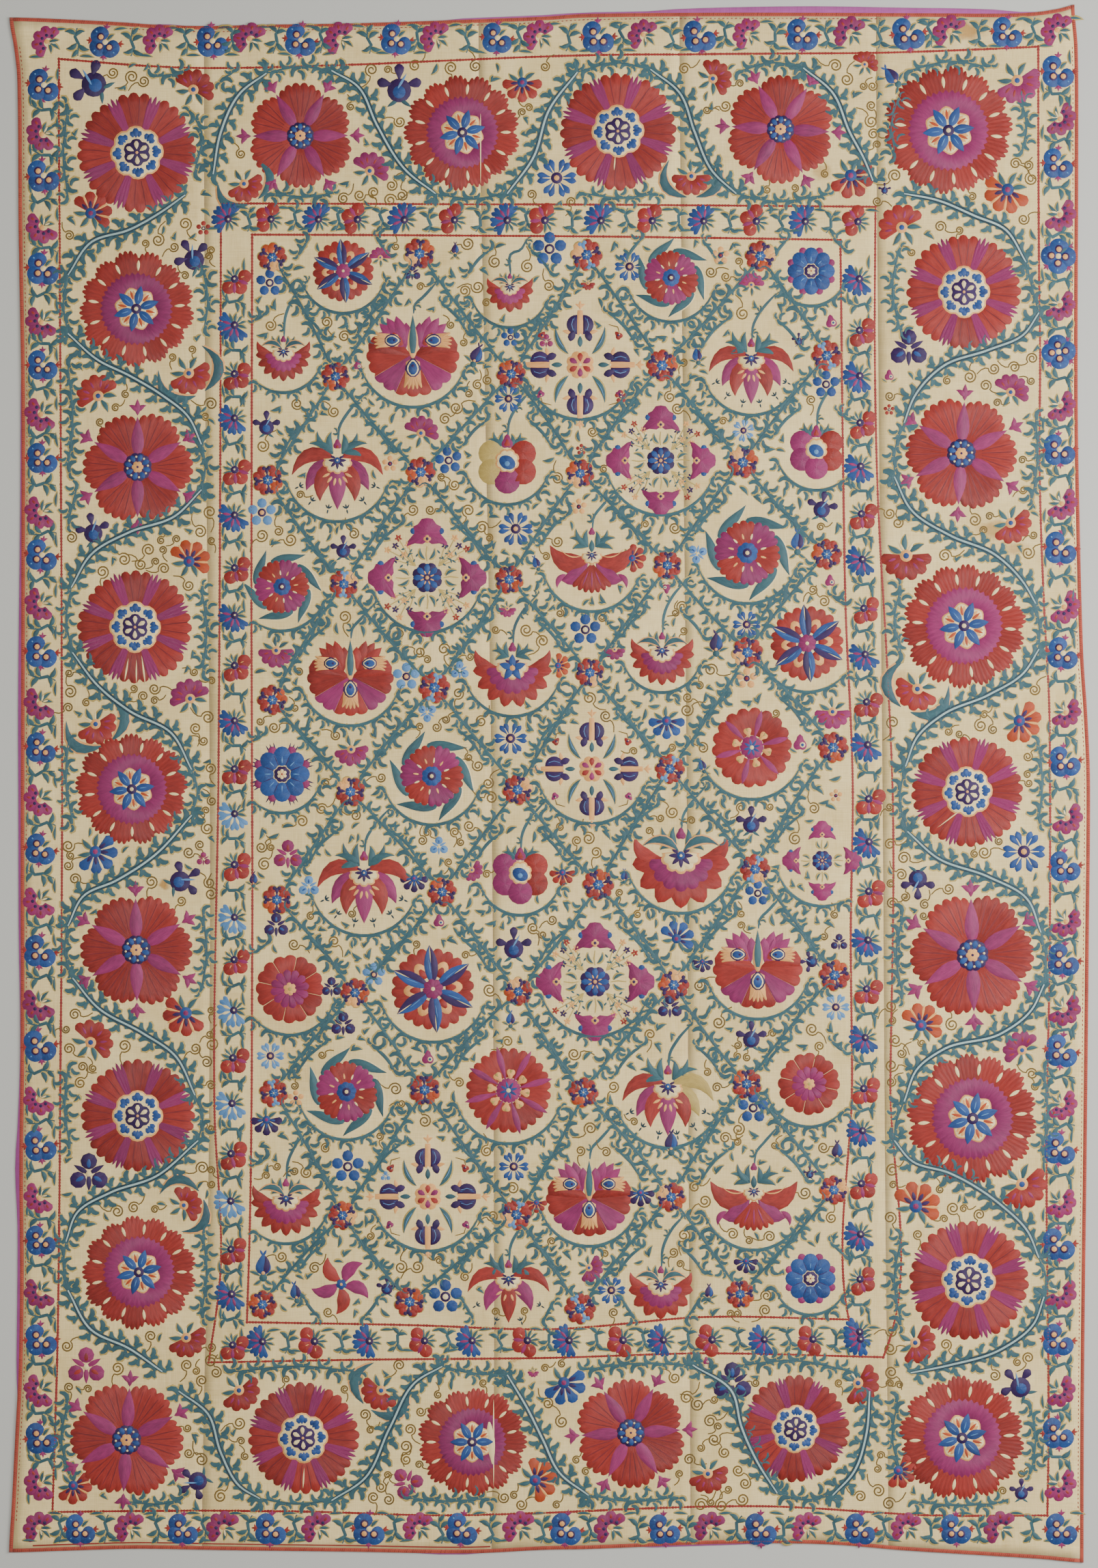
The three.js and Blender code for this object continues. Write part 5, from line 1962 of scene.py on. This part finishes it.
def loose_leaves(x, y, turn, size):
    place = spot(x, y, turn, size)
    haloed_leaf(place, (-10, -1), (10, 1), 6.4, 0.16)
    if hand.random() < 0.6:
        haloed_leaf(place, (-5, 0), (-1, 10), 5.4, 0.2)


# Left, right, bottom and top of all that is filled, of the inner border and of the field in it
ALL_FILLED, INNER_BORDER, INNER_FIELD = (
    (-738, 752, -1112, 1102), (-514, 527, -892, 890), (-441, 445, -816, 830))
SPIRAL_SHARE = {True: 0.6, False: 0.95}    # in the field and outside it; the rest are leaves
LARGEST_SPIRAL = 10.4


def within(box, x, y):
    left, right, bottom, top = box
    return left < x < right and bottom < y < top


filled = {"spirals": 0, "leaves": 0, "sprays": 0}
for radius, tries, share in ((12, 9000, 1), (10, 11000, 1), (8.5, 14000, 0.8), (7, 14000, 0.6)):
    for _ in range(tries):
        x, y = hand.uniform(*ALL_FILLED[:2]), hand.uniform(*ALL_FILLED[2:])
        in_field = within(INNER_FIELD, x, y)
        in_border = within(INNER_BORDER, x, y) and not in_field
        if in_border or covered[cells_near(x, y, radius)].any():
            continue
        turn = hand.uniform(0, 360)
        if hand.random() < share * SPIRAL_SHARE[in_field]:
            spiral(x, y, turn, min(radius * 0.92, LARGEST_SPIRAL), hand.choice((-1, 1)))
            filled["spirals"] += 1
        else:
            loose_leaves(x, y, turn, min(radius / 9, 1))
            filled["leaves"] += 1
        covered[cells_near(x, y, radius * 0.95)] = True


def spray(x, y, turn, size=1.0):
    """The branching teal spray between two border flowers."""
    place = spot(x, y, turn, size)
    row_of_chain("teal", place([(-5, -21), (1, -9), (-2, 3), (3, 20)]), 5.8, 0.45, 0.5, 0.6)
    for root, tip, width, bend in (
            ((-1, -10), (15, -19), 7.6, -0.2), ((0, -8), (-16, -13), 7, 0.25),
            ((0, 0), (18, 5), 7.8, 0.2), ((-2, 2), (-17, 14), 8, -0.2),
            ((1, 9), (13, 20), 7, 0.1)):
        haloed_leaf(place, root, tip, width, bend)


INWARD = {"top": -1, "bottom": 1, "left": 1, "right": -1}
for (is_inner, side, at), (_, next_side, next_at) in zip(sown, sown[1:] + sown[:1]):
    upright = side in ("left", "right")
    middle = (INNER_LINE if is_inner else OUTER_LINE)[side]
    if side == next_side and abs(next_at - at) < 110:
        x, y = middle((at + next_at) / 2)
        spray(x, y, 90 * upright + hand.choice((0, 180)) + hand.uniform(-16, 16),
              0.9 if is_inner else 1.04)
        filled["sprays"] += 1
    for out in (-1, 1):
        x, y = middle(at + 22 * out + hand.uniform(-8, 8))
        far = (16 if is_inner else 23 if out == INWARD[side] else 19) * out
        where = (x + far, y) if upright else (x, y + far)
        haloed_leaf(spot(*where, 90 * upright + hand.uniform(-9, 9)), (-12, 0), (12, 0), 4.8, 0.08)
print(filled)

# %% [markdown]
# ## Guard lines and the braid
# Red lines of chain stitch part the borders, and a running stitch follows the edge. A chain is a
# small pointed link repeated along a line, so the same tree lays it. The edge is bound with a
# narrow braid. How it is sewn on can't be seen: dark whip stitches every three millimetres are a
# guess.

# %% Stitches to repeat
def small_stitch(name, length, width, height, turn=0.0):
    """A pointed stitch as a little roof of six faces."""
    outline = np.array([(-0.5, 0), (-0.2, -0.5), (0.25, -0.5), (0.5, 0), (0.25, 0.5), (-0.2, 0.5)])
    rim = spot(0, 0, turn)(outline * (length, width))
    points = np.vstack((np.column_stack((rim, np.full(6, -0.1))), [(0, 0, height)]))
    faces = [(i, (i + 1) % 6, 6) for i in range(6)]
    return repeated_shape(name, points, faces, [points[i, 1::-1] for face in faces for i in face])


link = small_stitch("chain_link", 6.2, 4.4, 0.8)
whip = small_stitch("whip_stitch", 6.0, 1.5, 1.5, 62)
dash = small_stitch("running_stitch", 5.0, 1.7, 0.7)

# %% Guard lines
GUARD = paths("""
-749 1112, -749 1060, -747 700, -745 300, -744 0, -747 -500, -752 -900, -759 -1121
756 1131, 757 810, 759 660, 758 500, 765 270, 773 120, 774 0, 774 -230, 769 -540, 771 -1080, 770 -1126
-749 1112, -590 1100, -300 1103, -145 1110, 0 1116, 345 1120, 525 1122, 670 1127, 756 1131
-759 -1121, -608 -1119, -376 -1120, -145 -1126, 0 -1122, 160 -1115, 330 -1112, 600 -1126, 770 -1126
-500 890, -501 500, -504 0, -510 -500, -502 -770, -519 -891
506 885, 505 660, 510 430, 523 200, 532 0, 529 -460, 523 -870, 518 -883
-500 890, -180 889, 100 888, 506 885
-519 -891, -300 -887, 0 -884, 240 -877, 518 -883
-452 842, -453 300, -452 -300, -456 -700, -460 -829
452 834, 454 660, 456 500, 460 270, 471 0, 468 -230, 470 -460, 464 -820, 465 -825
-452 842, -200 841, 100 839, 452 834
-460 -829, -200 -834, 0 -840, 251 -821, 465 -825
""")
guard_lines = [smooth_path(points, 12) for points in GUARD]
for points in guard_lines:
    row_of_chain("guard", points, 3.6, 0.3, 0.4)


SIDE_SPAN, END_SPAN = (-1180, 2356), (-822, 1636)  # first place along a side or an end, length
EDGE_POINTS = 190


def edge_line(side, inside, start=0.02, end=0.98):
    """A line that keeps a distance inside the outer edge of the cloth."""
    t = np.linspace(start, end, EDGE_POINTS)
    if side in ("left", "right"):
        y = SIDE_SPAN[0] + SIDE_SPAN[1] * t
        x = left_edge(y) + inside if side == "left" else right_edge(y) - inside
    else:
        x = END_SPAN[0] + END_SPAN[1] * t
        y = bottom_edge(x) + inside if side == "bottom" else top_edge(x) - inside
    return np.column_stack((x, y))


join_embroidery("guard_chain", lay_stitches("guard_chain", guard_lines, link, link, 4.6,
                                            (0.85, 1.1), 9, 3, threads["guard"]))
running = [edge_line("left", 8.5), edge_line("right", 8.5), edge_line("top", 9, 0.1, 0.82)]
join_embroidery("edge_running_stitch", lay_stitches("edge_running", running, dash, dash, 6.5,
                                                    (0.8, 1.1), 10, 4, threads["guard"]))
row_of_chain("guard", edge_line("bottom", 9.5, 0.02, 0.45), 2.4, 0.35, 0.4)

# %% Silk pieces
for colour, box in silk.items():
    points = np.vstack(box["points"])
    points[:, 2] += cloth_height(points[:, 0], points[:, 1])
    name = "silk_" + colour.replace(" ", "_")
    piece = mesh_object(name, to_metres(points), box["faces"], threads[colour],
                        np.vstack(box["uv"]))
    dye = piece.data.attributes.new("dye", "FLOAT", "POINT")
    dye.data.foreach_set("value", np.concatenate(box["dye"]))
    embroidery.append(piece)
    triangles = sum(len(face) - 2 for face in box["faces"])
    print(name, triangles, "triangles")

# %% Braid
def plaited(name, light, dark, plait):
    """A flat plait: two slanting waves, of which the higher one shows at each place."""
    made, tree = new_material(name)
    here = add_node(tree, "ShaderNodeTexCoord").outputs["Object"]
    slants = []
    for angle in (0.785, -0.785):
        turned = add_node(tree, "ShaderNodeMapping", Vector=here, Rotation=(0, 0, angle))
        wave = add_node(tree, "ShaderNodeTexWave", {"bands_direction": "X"}, Vector=turned,
                        Scale=1000 * WAVE / plait, Distortion=0.8)
        slants.append(wave.outputs["Fac"])
    height = add_node(tree, "ShaderNodeMath", {"operation": "MAXIMUM"}, i0=slants[0], i1=slants[1])
    clouds = add_node(tree, "ShaderNodeTexNoise", Vector=here, Scale=24.0, Detail=4.0)
    colour = blend_tones(tree, -0.2, [(clouds, 1.2)], light, dark)
    finish_material(tree, colour, height, 0.6, 0.0004, Roughness=0.85, Sheen_Weight=0.2)
    return made


braid_cotton = plaited("orange-red plaited cotton braid", "A8452E", "7E2E22", 1.8)
BRAID_EDGE, BRAID_CROWN = 0.9, 0.5         # its height at the edges, and how far it domes
RUNS = {           # side: its edge, the way to the cloth, and the points across and along
    "left": (left_edge, 1, 9, 241), "right": (right_edge, -1, 9, 241),
    "top": (top_edge, -1, 171, 9), "bottom": (bottom_edge, 1, 171, 9),
}


def braid_run(side):
    """One domed run of braid between its edge and the cotton."""
    edge, inward, columns, rows = RUNS[side]
    near, far = sorted((0, inward * BRAID_WIDTH))
    limits = [ground_left, ground_right, bottom_edge, top_edge]
    start = 2 if rows == 9 else 0
    limits[start:start + 2] = inset(edge, near), inset(edge, far)

    def place(across, along):
        x, y = points_between(*limits, across, along)
        dome = BRAID_CROWN * np.sin(math.pi * (along if start else across))
        return x, y, np.full_like(x, GROUND_FLOOR), GROUND_FLOOR + BRAID_EDGE + dome

    return closed_sheet(f"braid_run_{side}", rows, columns, place, braid_cotton)


braids = {side: braid_run(side) for side in RUNS}
whip_mesh = lay_stitches("whip_stitches", [edge_line(side, BRAID_WIDTH / 2, 0.002, 0.998)
                                           for side in RUNS],
                         whip, whip, 3.1, (0.8, 1.1), 12, 5, threads["whip"])
lift_mesh(whip_mesh, lambda x, y: GROUND_FLOOR + BRAID_EDGE + 0.2)
whip_piece = add_object("whip_stitches", whip_mesh)
for spent in (link, whip, dash):
    bpy.data.objects.remove(spent)
print("braid runs:", len(braids), "whip stitches:", len(whip_mesh.polygons) // 6)

# %% [markdown]
# ## Studio light
# A plain pale floor and large soft lights. The cotton in the photo gets brighter from its left side
# to its right, so the strongest light hangs on that side. Low relief such as stitches only shows
# when some light comes in at a slant.

# %% Floor and lights
floor_material = bpy.data.materials.new("pale studio floor")
floor_material.use_nodes = True
floor_skin = floor_material.node_tree.nodes["Principled BSDF"]
floor_skin.inputs["Base Color"].default_value = linear("A9A9A4")
floor_skin.inputs["Roughness"].default_value = 0.9
FLOOR_REACH, FLOOR_LEVEL = 9000, -0.5
corners = [(FLOOR_REACH * x, FLOOR_REACH * y, FLOOR_LEVEL)
           for x, y in ((-1, -1), (1, -1), (1, 1), (-1, 1))]
floor = mesh_object("studio_floor", to_metres(corners), [(0, 1, 2, 3)], floor_material)


def soft_light(name, place, aim, size, watts):
    """A rectangle of light; its place, aim and size are in metres."""
    data = bpy.data.lights.new(name, "AREA")
    data.shape = "RECTANGLE"
    data.size, data.size_y = size
    data.energy = watts
    lamp = add_object(name, data)
    lamp.location = place
    lamp.rotation_euler = (Vector(aim) - Vector(place)).to_track_quat("-Z", "Y").to_euler()
    print(name, watts, "watts")


soft_light("window side", (3.0, 0.5, 2.3), (0.2, 0.0, 0), (1.8, 2.0), 228)
soft_light("overhead", (0.5, 0.0, 4.6), (0.1, 0, 0), (2.6, 2.4), 148)
soft_light("far side", (-3.6, -0.6, 3.0), (0, 0, 0), (2.5, 3.0), 40)
world = bpy.data.worlds.new("studio air")
world.use_nodes = True
air = world.node_tree.nodes["Background"]
air.inputs["Color"].default_value = linear("FBF3E4")
air.inputs["Strength"].default_value = 0.3
bpy.context.scene.world = world

# %% [markdown]
# ## Hanging the pieces on the body
# Every piece rides on the one body, and the CAD node that a cotton strip, the lining or a braid
# run stands for is hidden.

# %% Finish
dressed = [(strip, f"ground_{index}", "ground_cotton") for index, strip in enumerate(strips, 1)]
dressed += [(piece, None, "ground_cotton") for piece in embroidery]
dressed += [(lining, "lining", "lining_cotton")]
dressed += [(run, f"braid_{side}", "edge_braid") for side, run in braids.items()]
dressed += [(whip_piece, None, "edge_braid")]
for piece, node, slot in dressed:
    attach(piece, "root")
    if node:
        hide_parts(node)
